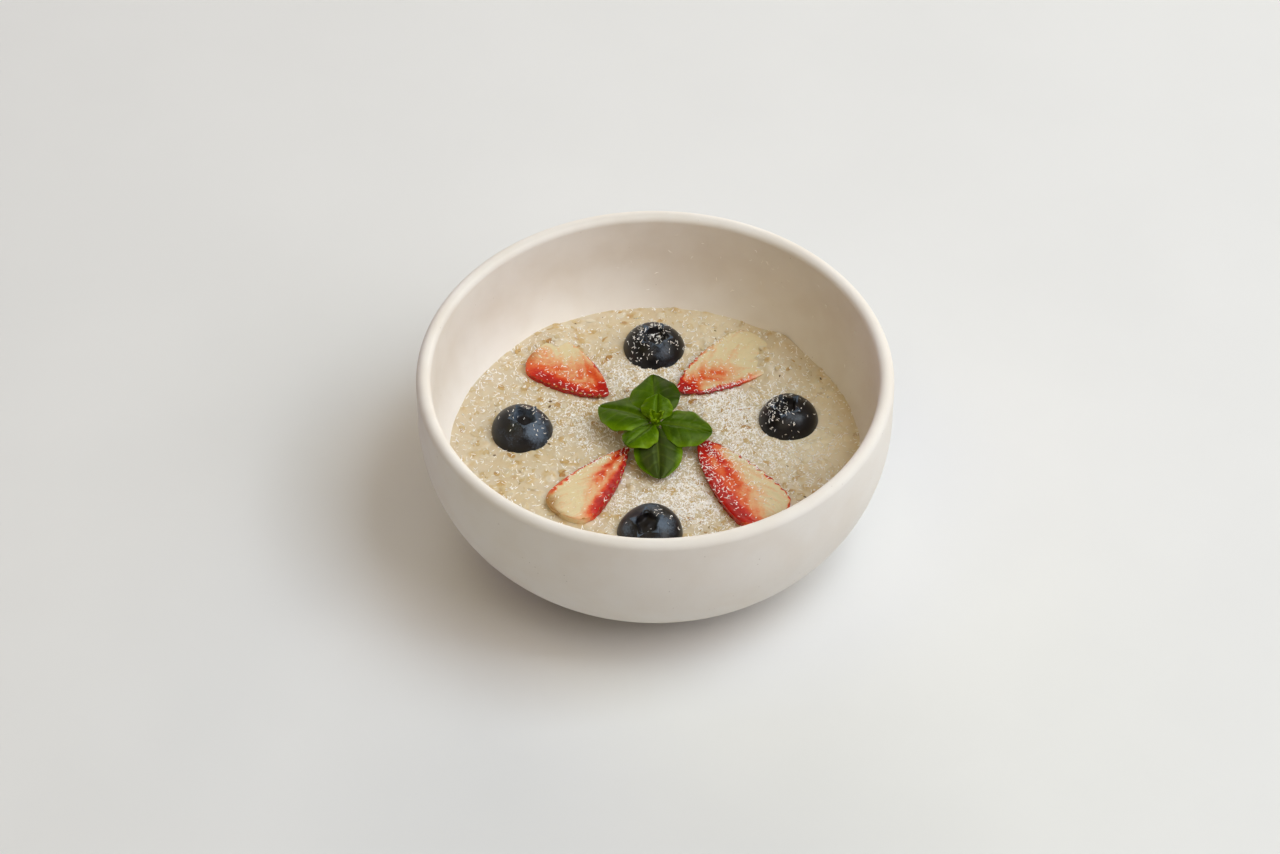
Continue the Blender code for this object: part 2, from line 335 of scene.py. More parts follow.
@dataclass(frozen=True)
class CookedOats:
    """Soft oats in a milky paste, moist and a little glossy."""

    milk: Colour = tint(208, 193, 168)
    pale: Colour = tint(217, 203, 177)
    straw: Colour = tint(206, 183, 141)
    tan: Colour = tint(192, 157, 100)
    bran: Colour = tint(170, 122, 62)
    # Painted light: this paler cream tone is laid in patches near the right and back walls, lifting
    # the porridge where the walls shade it.
    cream: Colour = tint(246, 233, 202)
    smear: float = 1.5 * MM
    grain: float = 0.60 * MM
    grain_depth: float = 0.06 * MM
    patch: float = 9 * MM

    def make(self) -> bpy.types.Material:
        """Build the material.

        Returns:
            The material.
        """
        paint = Paint("cooked_oats")
        flake = paint.values("flake")
        kind = paint.values("kind")
        fine = paint.clouds(self.grain, 3.0, 0.6)
        patches = paint.clouds(self.patch, 2.0).between(0.35, 0.70)
        smears = paint.clouds(self.smear, 2.0)
        tone = kind + (fine - 0.5) * 0.30 + (smears - 0.5) * 0.50
        skin = paint.ramp(tone, [(0.12, self.pale), (0.45, self.straw), (0.78, self.tan),
                                 (1.0, self.bran)])
        paste = paint.mix(patches * 0.5 + smears * 0.4, self.milk, self.straw)
        colour = paint.mix(flake, paste, skin)
        # Painted light: the cream mark lays the paler cream tone where the porridge lies in the walls'
        # shade.
        colour = paint.mix(paint.values("cream"), colour, self.cream)
        bumps = paint.relief(fine, self.grain_depth)
        return paint.finish({
            "Base Color": colour,
            "Roughness": 0.30 + fine * 0.20,
            "Normal": bumps,
            "Specular IOR Level": 0.45,
            "Subsurface Weight": 0.25,
            "Subsurface Radius": (1.0, 0.75, 0.45),
            "Subsurface Scale": 1.2 * MM,
        })


@dataclass(frozen=True)
class BlueberrySkin:
    """Near-black blue skin under a rubbed grey bloom with painted sheen, and a dry brown crown."""

    skin: Colour = tint(16, 14, 16)
    # Blue-grey bloom colour, laid in patches that are partly real bloom and partly painted sheen from
    # the soft lights.
    bloom: Colour = tint(84, 98, 114)
    crown: Colour = tint(24, 17, 14)
    patch: float = 4.2 * MM
    powder: float = 0.5 * MM
    powder_depth: float = 0.02 * MM
    wipe_low: float = 0.12
    wipe_high: float = 1.25

    def make(self) -> bpy.types.Material:
        """Build the material.

        Returns:
            The material.
        """
        paint = Paint("blueberry_skin")
        powder = paint.clouds(self.powder, 3.0, 0.7)
        smudges = paint.clouds(self.patch, 3.0, 0.6)
        # The bloom patches mix real bloom with painted sheen.
        rubbed = paint.values("bloom") + (smudges - 0.5) * 2.0 + (powder - 0.5) * 1.5
        bloom = rubbed.between(self.wipe_low, self.wipe_high)
        colour = paint.mix(bloom * 0.90, self.skin, self.bloom)
        colour = paint.mix(paint.values("crown"), colour, self.crown)
        return paint.finish({
            "Base Color": colour,
            "Roughness": 0.32 + bloom * 0.25 + paint.values("crown") * 0.3,
            "Normal": paint.relief(powder, self.powder_depth),
            "Specular IOR Level": 0.35,
        })


@dataclass(frozen=True)
class StrawberryFlesh:
    """Cut strawberry: pale core, orange and red flesh, and glossy red skin."""

    core: Colour = tint(220, 202, 160)
    salmon: Colour = tint(224, 166, 118)
    orange: Colour = tint(220, 96, 44)
    red: Colour = tint(196, 34, 18)
    deep: Colour = tint(150, 12, 10)
    scorched: Colour = tint(150, 104, 38)
    fibre: float = 0.55 * MM
    fibre_depth: float = 0.06 * MM

    def make(self) -> bpy.types.Material:
        """Build the material.

        Returns:
            The material.
        """
        paint = Paint("strawberry")
        ripe = paint.values("ripe")
        skin = paint.values("skin")
        fine = paint.clouds(self.fibre, 3.0, 0.65)
        blur = paint.clouds(self.fibre * 4.0, 2.0)
        tone = ripe + (fine - 0.5) * 0.28 + (blur - 0.5) * 0.20
        flesh = paint.ramp(tone, [(0.0, self.core), (0.18, self.core), (0.38, self.salmon),
                                  (0.58, self.orange), (0.78, self.red), (1.0, self.deep)])
        colour = paint.mix(paint.values("tan") * (0.6 + fine * 0.6), flesh, self.scorched)
        wet = paint.relief(fine, self.fibre_depth)
        return paint.finish({
            "Base Color": colour,
            "Roughness": 0.30 - skin * 0.08 + (fine - 0.5) * 0.15,
            "Normal": wet,
            "Specular IOR Level": 0.45,
            "Subsurface Weight": 0.20,
            "Subsurface Radius": (1.0, 0.35, 0.2),
            "Subsurface Scale": 1.2 * MM,
        })


@dataclass(frozen=True)
class SeedHusk:
    """Straw-yellow seed husks, browner in places."""

    straw: Colour = tint(198, 138, 62)
    brown: Colour = tint(134, 74, 30)

    def make(self) -> bpy.types.Material:
        """Build the material.

        Returns:
            The material.
        """
        paint = Paint("seed_husk")
        fine = paint.clouds(0.5 * MM, 2.0)
        colour = paint.mix(fine.between(0.4, 0.7), self.straw, self.brown)
        return paint.finish({"Base Color": colour, "Roughness": 0.38 + fine * 0.15})


@dataclass(frozen=True)
class BasilLeaf:
    """Glossy green leaf with lighter veins, with painted light at its edges and painted shade on its
    darker parts.
    """

    deep: Colour = tint(42, 64, 1)
    green: Colour = tint(70, 100, 1)
    bright: Colour = tint(112, 142, 4)
    vein: Colour = tint(126, 148, 30)
    # Painted shade: the grey-green that the darkest, shaded parts of the leaves take.
    shade: Colour = tint(52, 60, 28)
    gloss: Colour = tint(240, 255, 150)
    cell: float = 0.42 * MM
    cell_depth: float = 0.03 * MM

    def make(self) -> bpy.types.Material:
        """Build the material.

        Returns:
            The material.
        """
        paint = Paint("basil_leaf")
        fine = paint.clouds(self.cell, 2.0, 0.6)
        blotch = paint.clouds(3.2 * MM, 2.0)
        # The light numbers are painted light and shade: each leaf's brightness, a painted glow at its
        # edges and painted shade on one half, with random blotches on top.
        light = paint.values("light") + (blotch - 0.5) * 0.42 + (fine - 0.5) * 0.26
        blade = paint.ramp(light, [(0.0, self.shade), (0.25, self.deep), (0.55, self.green),
                                   (1.0, self.bright)])
        colour = paint.mix(paint.values("vein") * 0.20, blade, self.vein)
        return paint.finish({
            "Base Color": colour,
            "Roughness": 0.34 + (fine - 0.5) * 0.2,
            "Normal": paint.relief(fine, self.cell_depth),
            "Specular IOR Level": 0.22,
            "Specular Tint": self.gloss,
        })


@dataclass(frozen=True)
class DriedCoconut:
    """White dried coconut, faintly warm, with a fibrous skin."""

    white: Colour = tint(255, 252, 248)
    cream: Colour = tint(246, 234, 214)

    def make(self) -> bpy.types.Material:
        """Build the material.

        Returns:
            The material.
        """
        paint = Paint("dried_coconut")
        patches = paint.clouds(1.6 * MM, 2.0).between(0.45, 0.75)
        fine = paint.clouds(0.22 * MM, 2.0, 0.6)
        colour = paint.mix(patches * 0.7, self.white, self.cream)
        return paint.finish({
            "Base Color": colour,
            "Roughness": 0.55 + (fine - 0.5) * 0.2,
            "Normal": paint.relief(fine, 0.02 * MM),
            "Specular IOR Level": 0.3,
        })


@dataclass(frozen=True)
class BranSkin:
    """Brown bran of a few unhulled flakes."""

    brown: Colour = tint(104, 74, 36)
    olive: Colour = tint(134, 116, 44)

    def make(self) -> bpy.types.Material:
        """Build the material.

        Returns:
            The material.
        """
        paint = Paint("bran_skin")
        fine = paint.clouds(5 * MM, 1.0).between(0.4, 0.6)
        grain = paint.clouds(0.3 * MM, 2.0)
        colour = paint.mix(fine, self.brown, self.olive)
        return paint.finish({"Base Color": colour, "Roughness": 0.5 + (grain - 0.5) * 0.3,
                             "Normal": paint.relief(grain, 0.04 * MM)})


@dataclass(frozen=True)
class Tabletop:
    """Plain pale laminate, with painted light glowing far out."""

    pale: Colour = tint(229, 229, 228)
    shade: Colour = tint(227, 227, 226)
    near: float = 0.45
    far: float = 2.2
    glow: float = 0.60

    def make(self) -> bpy.types.Material:
        """Build the material, with a glow far out where the lamps do not reach.

        Returns:
            The material.
        """
        paint = Paint("tabletop")
        away = paint.node("ShaderNodeVectorMath", {"operation": "LENGTH"}, {0: paint.place}, "Value")
        clouds = paint.clouds(60 * MM, 3.0).between(0.3, 0.7)
        fine = paint.clouds(0.8 * MM, 2.0)
        return paint.finish({
            "Base Color": paint.mix(clouds, self.pale, self.shade),
            "Roughness": 0.60 + (fine - 0.5) * 0.1,
            "Specular IOR Level": 0.25,
            # Painted light: the floor glows by itself far out, where the lamps do not reach.
            "Emission Color": away.between(self.near, self.far) * self.glow,
            "Emission Strength": 1.0,
        })


# Mesh building

def deselect_all() -> None:
    """Leave nothing selected."""
    bpy.ops.object.select_all(action="DESELECT")


def make_active(item: bpy.types.Object) -> None:
    """Select one piece alone.

    Args:
        item: The piece.
    """
    deselect_all()
    item.select_set(True)
    bpy.context.view_layer.objects.active = item


def named(name: str) -> bpy.types.Object:
    """Name the piece that was just added, and return it.

    Args:
        name: Name of the piece.

    Returns:
        The piece.
    """
    item = bpy.context.active_object
    item.name = name
    item.data.name = name
    return item


def start_grid(name: str, x_steps: int, y_steps: int) -> bpy.types.Object:
    """Add a flat grid whose corners are at plus and minus 1.

    Args:
        name: Name of the piece.
        x_steps: Steps along x.
        y_steps: Steps along y.

    Returns:
        The grid.
    """
    deselect_all()
    bpy.ops.mesh.primitive_grid_add(x_subdivisions=x_steps, y_subdivisions=y_steps, size=2.0)
    return named(name)


def start_ball(name: str, segments: int, rings: int) -> bpy.types.Object:
    """Add a ball of radius 1 with its poles on Z.

    Args:
        name: Name of the piece.
        segments: Segments round the ball.
        rings: Rings from pole to pole.

    Returns:
        The ball.
    """
    deselect_all()
    bpy.ops.mesh.primitive_uv_sphere_add(segments=segments, ring_count=rings, radius=1.0)
    return named(name)


def start_cube(name: str) -> bpy.types.Object:
    """Add a cube whose corners are at plus and minus 1.

    Args:
        name: Name of the piece.

    Returns:
        The cube.
    """
    deselect_all()
    bpy.ops.mesh.primitive_cube_add(size=2.0)
    return named(name)


@contextmanager
def editing(item: bpy.types.Object) -> Iterator[None]:
    """Open one mesh for editing with all of it selected, and close it again.

    Args:
        item: The piece.

    Returns:
        A guard that holds the mesh open.
    """
    make_active(item)
    bpy.ops.object.mode_set(mode="EDIT")
    bpy.ops.mesh.select_all(action="SELECT")
    yield
    bpy.ops.object.mode_set(mode="OBJECT")


def rows(x: np.ndarray, y: np.ndarray, z: np.ndarray) -> np.ndarray:
    """Put coordinates together as rows of x, y and z."""
    return np.stack([x, y, z], axis=1)


def noise_at(x: np.ndarray, y: np.ndarray, z: float, grain: float = 1.0) -> np.ndarray:
    """Read smooth noise of a grain at a list of places."""
    return np.array([noise.noise(Vector((east, north, z)) / grain) for east, north in zip(x, y)])


def corners_of(item: bpy.types.Object) -> np.ndarray:
    """Read a mesh's corners as rows of x, y and z.

    Args:
        item: The piece.

    Returns:
        The corners, as rows of x, y and z.
    """
    spots = np.empty(len(item.data.vertices) * 3)
    item.data.vertices.foreach_get("co", spots)
    return spots.reshape(-1, 3)


def reshape(item: bpy.types.Object, move: Move) -> None:
    """Move all corners of a mesh by a formula.

    Args:
        item: The piece.
        move: Takes the corners as rows and returns their new places.
    """
    spots = np.ascontiguousarray(move(corners_of(item)))
    item.data.vertices.foreach_set("co", spots.ravel())
    item.data.update()


def give_values(item: bpy.types.Object, name: str, values: np.ndarray) -> None:
    """Store one number for each corner, for the material to read."""
    store = item.data.attributes.new(name, "FLOAT", "POINT")
    store.data.foreach_set("value", np.asarray(values, dtype=np.float32))


def close_up(item: bpy.types.Object, reach: float = MERGE_REACH) -> None:
    """Merge a mesh's doubled corners and turn its faces outwards.

    Args:
        item: The piece.
        reach: How near doubled corners lie.
    """
    with editing(item):
        bpy.ops.mesh.remove_doubles(threshold=reach)
        bpy.ops.mesh.normals_make_consistent(inside=False)


def soften_shading(item: bpy.types.Object, degrees: float = SMOOTH_ANGLE) -> None:
    """Shade a piece smooth, apart from edges sharper than an angle."""
    make_active(item)
    bpy.ops.object.shade_smooth_by_angle(angle=math.radians(degrees))


def apply_modifier(item: bpy.types.Object, kind: str, **settings: object) -> None:
    """Add a modifier, set it and apply it.

    Args:
        item: The piece.
        kind: Type of the modifier.
        settings: Its settings by name.
    """
    modifier = item.modifiers.new(kind.lower(), kind)
    for name, value in settings.items():
        setattr(modifier, name, value)
    make_active(item)
    bpy.ops.object.modifier_apply(modifier=modifier.name)


def join_pieces(name: str, pieces: Sequence[bpy.types.Object]) -> bpy.types.Object:
    """Join pieces into one mesh under one name.

    Args:
        name: Name of the joined piece.
        pieces: The pieces.

    Returns:
        The joined piece.
    """
    make_active(pieces[0])
    for piece in pieces:
        piece.select_set(True)
    if len(pieces) > 1:
        bpy.ops.object.join()
    return named(name)


def set_down(item: bpy.types.Object, place: Matrix) -> None:
    """Move a piece's mesh to its place, with its object left at the origin."""
    item.data.transform(place)
    item.data.update()


def middle_of(low: Vector, high: Vector) -> Vector:
    """The middle of a box."""
    return (low + high) / 2.0


def box_of(spots: np.ndarray) -> tuple[Vector, Vector]:
    """The lowest and highest corners of a row of points."""
    return Vector(spots.min(axis=0)), Vector(spots.max(axis=0))


def slide_into(item: bpy.types.Object, node_low: Vector, node_high: Vector,
               by_top: bool) -> Vector:
    """Slide a piece to the middle of its node, level with the node's top or bottom.

    Args:
        item: The piece.
        node_low: The node's lowest corner.
        node_high: The node's highest corner.
        by_top: Whether the tops meet, rather than the bottoms.

    Returns:
        How far the piece slid.
    """
    low, high = box_of(corners_of(item))
    slide = middle_of(node_low, node_high) - middle_of(low, high)
    slide.z = node_high.z - high.z if by_top else node_low.z - low.z
    set_down(item, Matrix.Translation(slide))
    return slide


def turned(name: str, outline: Sequence[tuple[float, float]], steps: int) -> bpy.types.Object:
    """Spin an outline about Z into a closed shell.

    Args:
        name: Name of the piece.
        outline: Radius and height of each corner, from the axis round to the axis.
        steps: Steps in a full turn.

    Returns:
        The new piece.
    """
    deselect_all()
    bpy.ops.mesh.primitive_plane_add(size=MM)
    item = named(name)
    with editing(item):
        bpy.ops.mesh.merge(type="CENTER")
        radius, height = outline[0]
        bpy.ops.transform.translate(value=(radius, 0.0, height))
        for next_radius, next_height in outline[1:]:
            step = (next_radius - radius, 0.0, next_height - height)
            bpy.ops.mesh.extrude_vertices_move(TRANSFORM_OT_translate={"value": step})
            radius, height = next_radius, next_height
        bpy.ops.mesh.select_all(action="SELECT")
        bpy.ops.mesh.spin(steps=steps, angle=math.tau, center=(0, 0, 0), axis=(0, 0, 1))
    close_up(item, TURNING_REACH)
    return item


def arc(centre: tuple[float, float], wide: float, tall: float, start: float, end: float,
        steps: int) -> list[tuple[float, float]]:
    """Points along an elliptical arc, both ends included.

    Args:
        centre: Centre of the ellipse as radius and height.
        wide: Half width.
        tall: Half height.
        start: First angle in degrees.
        end: Last angle in degrees.
        steps: Number of steps.

    Returns:
        The radius and height of each point.
    """
    points = []
    for step in range(steps + 1):
        angle = math.radians(start + (end - start) * step / steps)
        points.append((centre[0] + wide * math.cos(angle), centre[1] + tall * math.sin(angle)))
    return points


def ease(value: np.ndarray, low: float, high: float) -> np.ndarray:
    """Ease from 0 at one level to 1 at another, for arrays."""
    share = np.clip((value - low) / (high - low), 0.0, 1.0)
    return share * share * (3.0 - 2.0 * share)


def spot_on_disc(draw: np.random.Generator, radius: float) -> tuple[float, float]:
    """Draw a place on a disc, all places being equally likely.

    Args:
        draw: Source of the random numbers.
        radius: Radius of the disc.

    Returns:
        The place's x and y.
    """
    reach = radius * math.sqrt(draw.random())
    angle = draw.uniform(0.0, math.tau)
    return reach * math.cos(angle), reach * math.sin(angle)


def tone_of(draw: np.random.Generator, middle: float, spread: float) -> float:
    """Draw the tone of a flake, 0 pale to 1 brown."""
    return float(np.clip(draw.normal(middle, spread), 0.0, 1.0))


def present(item: bpy.types.Object, material: bpy.types.Material, slot: Slot,
            *nodes: str) -> bpy.types.Object:
    """Give a piece its material and body, and hide the nodes that it stands for.

    Args:
        item: The piece.
        material: Its material.
        slot: Not used.
        nodes: Names of the nodes that it replaces.

    Returns:
        The piece.
    """
    item.data.materials.clear()
    item.data.materials.append(material)
    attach(item, BODY)
    if nodes:
        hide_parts(*nodes)
    log.info("%s: %d faces", item.name, len(item.data.polygons))
    return item


def scatter(name: str, models: Sequence[bpy.types.Object], places: Sequence[Matrix],
            values: dict[str, Sequence[float]] | None = None) -> bpy.types.Object:
    """Copy small models to many places as one joined mesh, and remove the models.

    Args:
        name: Name of the joined piece.
        models: The models, used in turn.
        places: The place of each copy.
        values: Numbers for each copy, stored on its corners under their names.

    Returns:
        The joined piece.
    """
    shapes = [(corners_of(model), [list(face.vertices) for face in model.data.polygons])
              for model in models]
    spots, faces, owners, first = [], [], [], 0
    for number, place in enumerate(places):
        corners, sides = shapes[number % len(shapes)]
        grid = np.array(place)
        spots.append(corners @ grid[:3, :3].T + grid[:3, 3])
        faces.extend([[first + corner for corner in side] for side in sides])
        owners.extend([number] * len(corners))
        first += len(corners)
    mesh = bpy.data.meshes.new(name)
    mesh.from_pydata(np.concatenate(spots).tolist(), [], faces)
    item = bpy.data.objects.new(name, mesh)
    bpy.context.scene.collection.objects.link(item)
    for label, numbers in (values or {}).items():
        give_values(item, label, np.asarray(numbers)[owners])
    for model in models:
        bpy.data.objects.remove(model, do_unlink=True)
    return item


# Studio

@dataclass(frozen=True)
class Lamp:
    """One square soft light: where it hangs, seen from the bowl, and its power by colour."""

    name: str
    azimuth: float
    elevation: float
    watts: tuple[float, float, float]


@dataclass
class Studio:
    """Pale floor, soft lights and the camera."""

    lamps: tuple[Lamp, ...] = (
        Lamp("key_right", 0, 63, (10.7, 12.5, 14.1)),
        Lamp("back", 90, 18, (10.4, 9.9, 9.1)),
        Lamp("key_right_front", 330, 40, (7.2, 7.0, 7.4)),
        Lamp("back_right", 45, 18, (5.1, 4.1, 2.6)),
        Lamp("fill_front_left", 245, 46, (3.3, 2.7, 2.0)),
        Lamp("fill_front", 290, 70, (4.2, 3.9, 3.7)),
        Lamp("fill_right", 0, 40, (3.4, 3.4, 3.1)),
        Lamp("back_left", 135, 18, (1.2, 0.8, 2.6)),
        Lamp("fill_left", 180, 63, (2.5, 2.1, 0.6)),
    )
    lamp_size: float = 0.9
    lamp_reach: float = 1.7
    floor_size: float = 8.0
    backdrop: Colour = tint(222, 222, 221)
    look_at: tuple[float, float, float] = (-4.13 * MM, 30.75 * MM, 0.0)
    elevation: float = 45.71
    distance: float = 1207 * MM
    lens: float = 118.83
    sensor: float = 36.0

    def build(self) -> None:
        """Make the floor, the lights and the camera."""
        bpy.context.scene.view_settings.view_transform = "Standard"
        self._floor()
        self._room()
        for lamp in self.lamps:
            self._hang(lamp)
        self._camera()

    def _floor(self) -> None:
        """Lay a wide floor with the pale finish."""
        deselect_all()
        bpy.ops.mesh.primitive_plane_add(size=self.floor_size)
        floor = named("floor")
        floor.data.materials.append(Tabletop().make())

    def _room(self) -> None:
        """Put a pale backdrop behind the floor that lights nothing itself."""
        world = bpy.data.worlds.new("room")
        world.use_nodes = True
        tree = world.node_tree
        backdrop = tree.nodes["Background"]
        backdrop.inputs["Color"].default_value = self.backdrop
        rays = tree.nodes.new("ShaderNodeLightPath")
        tree.links.new(rays.outputs["Is Camera Ray"], backdrop.inputs["Strength"])
        bpy.context.scene.world = world

    def _hang(self, lamp: Lamp) -> None:
        """Hang one lamp and turn it to the bowl.

        Args:
            lamp: The lamp.
        """
        light = bpy.data.lights.new(lamp.name, "AREA")
        light.size = self.lamp_size
        light.energy = max(lamp.watts)
        light.color = [part / light.energy for part in lamp.watts]
        around, up = math.radians(lamp.azimuth), math.radians(lamp.elevation)
        spot = Vector((math.cos(up) * math.cos(around), math.cos(up) * math.sin(around),
                       math.sin(up))) * self.lamp_reach
        item = bpy.data.objects.new(lamp.name, light)
        item.location = spot
        item.rotation_euler = (-spot).to_track_quat("-Z", "Y").to_euler()
        bpy.context.scene.collection.objects.link(item)

    def _camera(self) -> None:
        """Set the camera in front of the bowl, looking down on it."""
        lens = bpy.data.cameras.new("camera")
        lens.lens = self.lens
        lens.sensor_width = self.sensor
        lens.clip_start = 0.05
        lens.clip_end = 20.0
        camera = bpy.data.objects.new("camera", lens)
        rise = math.radians(self.elevation)
        back = Vector((0.0, -math.cos(rise), math.sin(rise))) * self.distance
        camera.location = Vector(self.look_at) + back
        camera.rotation_euler = (math.pi / 2.0 - rise, 0.0, 0.0)
        bpy.context.scene.collection.objects.link(camera)
        bpy.context.scene.camera = camera


# Bowl

@dataclass
class Bowl:
    """A turned bowl: straight rim wall, belly of a quarter ellipse, low foot ring."""

    rim: float = 4.1 * MM
    belly_top: float = 40 * MM
    foot_radius: float = 33.5 * MM
    foot_height: float = 2 * MM
    foot_width: float = 4.5 * MM
    foot_edge: float = 0.5 * MM
    foot_recess: float = 1.4 * MM
    floor_height: float = 5 * MM
    steps: int = 192
    curve_steps: int = 26

    def __post_init__(self) -> None:
        """Read the outer size from the frame."""
        low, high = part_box("bowl")
        self.radius = (high.x - low.x) / 2.0
        self.height = high.z

    def inner_radius(self, height: float) -> float:
        """Radius of the inner wall at a height.

        Args:
            height: Height over the table.

        Returns:
            The radius.
        """
        share = min(max((self.belly_top - height) / (self.belly_top - self.floor_height), 0.0), 1.0)
        reach = self.radius - self.rim - self.foot_radius
        return self.foot_radius + reach * math.sqrt(1.0 - share * share)

    def outline(self) -> list[tuple[float, float]]:
        """Outline from the inner floor over the lip to the underside.

        Returns:
            The radius and height of each corner.
        """
        steps = self.curve_steps
        lip = self.rim / 2.0
        centre = (self.foot_radius, self.belly_top)
        inner = arc(centre, self.radius - self.rim - self.foot_radius,
                    self.belly_top - self.floor_height, -90.0, 0.0, steps)
        top = arc((self.radius - lip, self.height - lip), lip, lip, 180.0, 0.0, steps // 2)
        outer = arc(centre, self.radius - self.foot_radius,
                    self.belly_top - self.foot_height, 0.0, -90.0, steps)
        foot_inner = self.foot_radius - self.foot_width
        edge = self.foot_edge
        outside = arc((self.foot_radius - edge, edge), edge, edge, 0.0, -90.0, 3)
        inside = arc((foot_inner + edge, edge), edge, edge, -90.0, -180.0, 3)
        under = [(foot_inner - edge, self.foot_recess), (0.0, self.foot_recess)]
        middle = [(0.0, self.floor_height), (self.foot_radius / 2.0, self.floor_height)]
        return middle + inner + top + outer + outside + inside + under

    def build(self, material: bpy.types.Material) -> bpy.types.Object:
        """Turn the bowl and dress it.

        Args:
            material: The stoneware.

        Returns:
            The bowl.
        """
        bowl = turned("stoneware_bowl", self.outline(), self.steps)
        spots = corners_of(bowl)
        wall = np.array([self.inner_radius(height) for height in spots[:, 2]])
        inside = np.hypot(spots[:, 0], spots[:, 1]) < wall + self.rim / 4.0
        # The inside mark picks the inner wall and floor, which the stoneware paints lighter as painted
        # light.
        give_values(bowl, "inside", inside * (spots[:, 2] > self.floor_height / 2.0))
        soften_shading(bowl, CRISP_ANGLE)
        return present(bowl, material, Slot.STONEWARE, "bowl")


# Porridge

@dataclass(frozen=True)
class Patch:
    """A round place on the food where something is stronger, fading with distance."""

    x: float
    y: float
    reach: float
    strength: float

    def at(self, x: np.ndarray | float, y: np.ndarray | float) -> np.ndarray | float:
        """Strength at a place."""
        gap = ((x - self.x) ** 2 + (y - self.y) ** 2) / self.reach ** 2
        return self.strength * np.exp(-gap)


class Relief:
    """A height map of the porridge's top, on square cells."""

    def __init__(self, reach: float, cell: float) -> None:
        """Start flat.

        Args:
            reach: Half width of the map.
            cell: Width of one cell.
        """
        self.reach = reach
        self.cell = cell
        self.count = int(2.0 * reach / cell) + 1
        self.height = np.zeros((self.count, self.count))
        self.kind = np.zeros((self.count, self.count))

    def lay_flake(self, x: float, y: float, length: float, width: float, turn: float,
                  slope: float, rise: float, kind: float) -> None:
        """Lay one oat flake over what is there.

        Args:
            x: Place of its middle.
            y: Place of its middle.
            length: Its half length.
            width: Its half width.
            turn: Its heading in radians.
            slope: Rise along its length, as a share of the run.
            rise: Height of its middle.
            kind: Its tone, 0 pale to 1 brown.
        """
        low_x = max(int((x - length + self.reach) / self.cell), 0)
        low_y = max(int((y - length + self.reach) / self.cell), 0)
        span = int(2.0 * length / self.cell) + 2
        window = np.s_[low_y:low_y + span, low_x:low_x + span]
        block = self.height[window]
        rows, columns = np.indices(block.shape)
        east = (columns + low_x) * self.cell - self.reach - x
        north = (rows + low_y) * self.cell - self.reach - y
        along = (east * math.cos(turn) + north * math.sin(turn)) / length
        across = (north * math.cos(turn) - east * math.sin(turn)) / width
        round_off = along * along + across * across
        crease = 0.12 * MM * np.exp(-(across / 0.16) ** 2)
        top = rise + slope * along * length - 0.35 * MM * round_off ** 2 - crease
        proud = (round_off < 1.0) & (top > block)
        self.height[window] = np.where(proud, top, block)
        self.kind[window] = np.where(proud, kind, self.kind[window])

    def soften(self, passes: int) -> None:
        """Blur the heights and tones, as cooking does.

        Args:
            passes: Number of times.
        """
        for _ in range(passes):
            for grid in (self.height, self.kind):
                grid[1:-1] = (grid[:-2] + 2.0 * grid[1:-1] + grid[2:]) / 4.0
                grid[:, 1:-1] = (grid[:, :-2] + 2.0 * grid[:, 1:-1] + grid[:, 2:]) / 4.0

    def read(self, grid: np.ndarray, x: np.ndarray, y: np.ndarray) -> np.ndarray:
        """Read a map between its cells.

        Args:
            grid: The heights or the tones.
            x: Places to read.
            y: Places to read.

        Returns:
            The values there.
        """
        column = np.clip((x + self.reach) / self.cell, 0.0, self.count - 1.001)
        row = np.clip((y + self.reach) / self.cell, 0.0, self.count - 1.001)
        left, low = column.astype(int), row.astype(int)
        right_share, high_share = column - left, row - low
        lower = grid[low, left] * (1 - right_share) + grid[low, left + 1] * right_share
        upper = grid[low + 1, left] * (1 - right_share) + grid[low + 1, left + 1] * right_share
        return lower * (1 - high_share) + upper * high_share


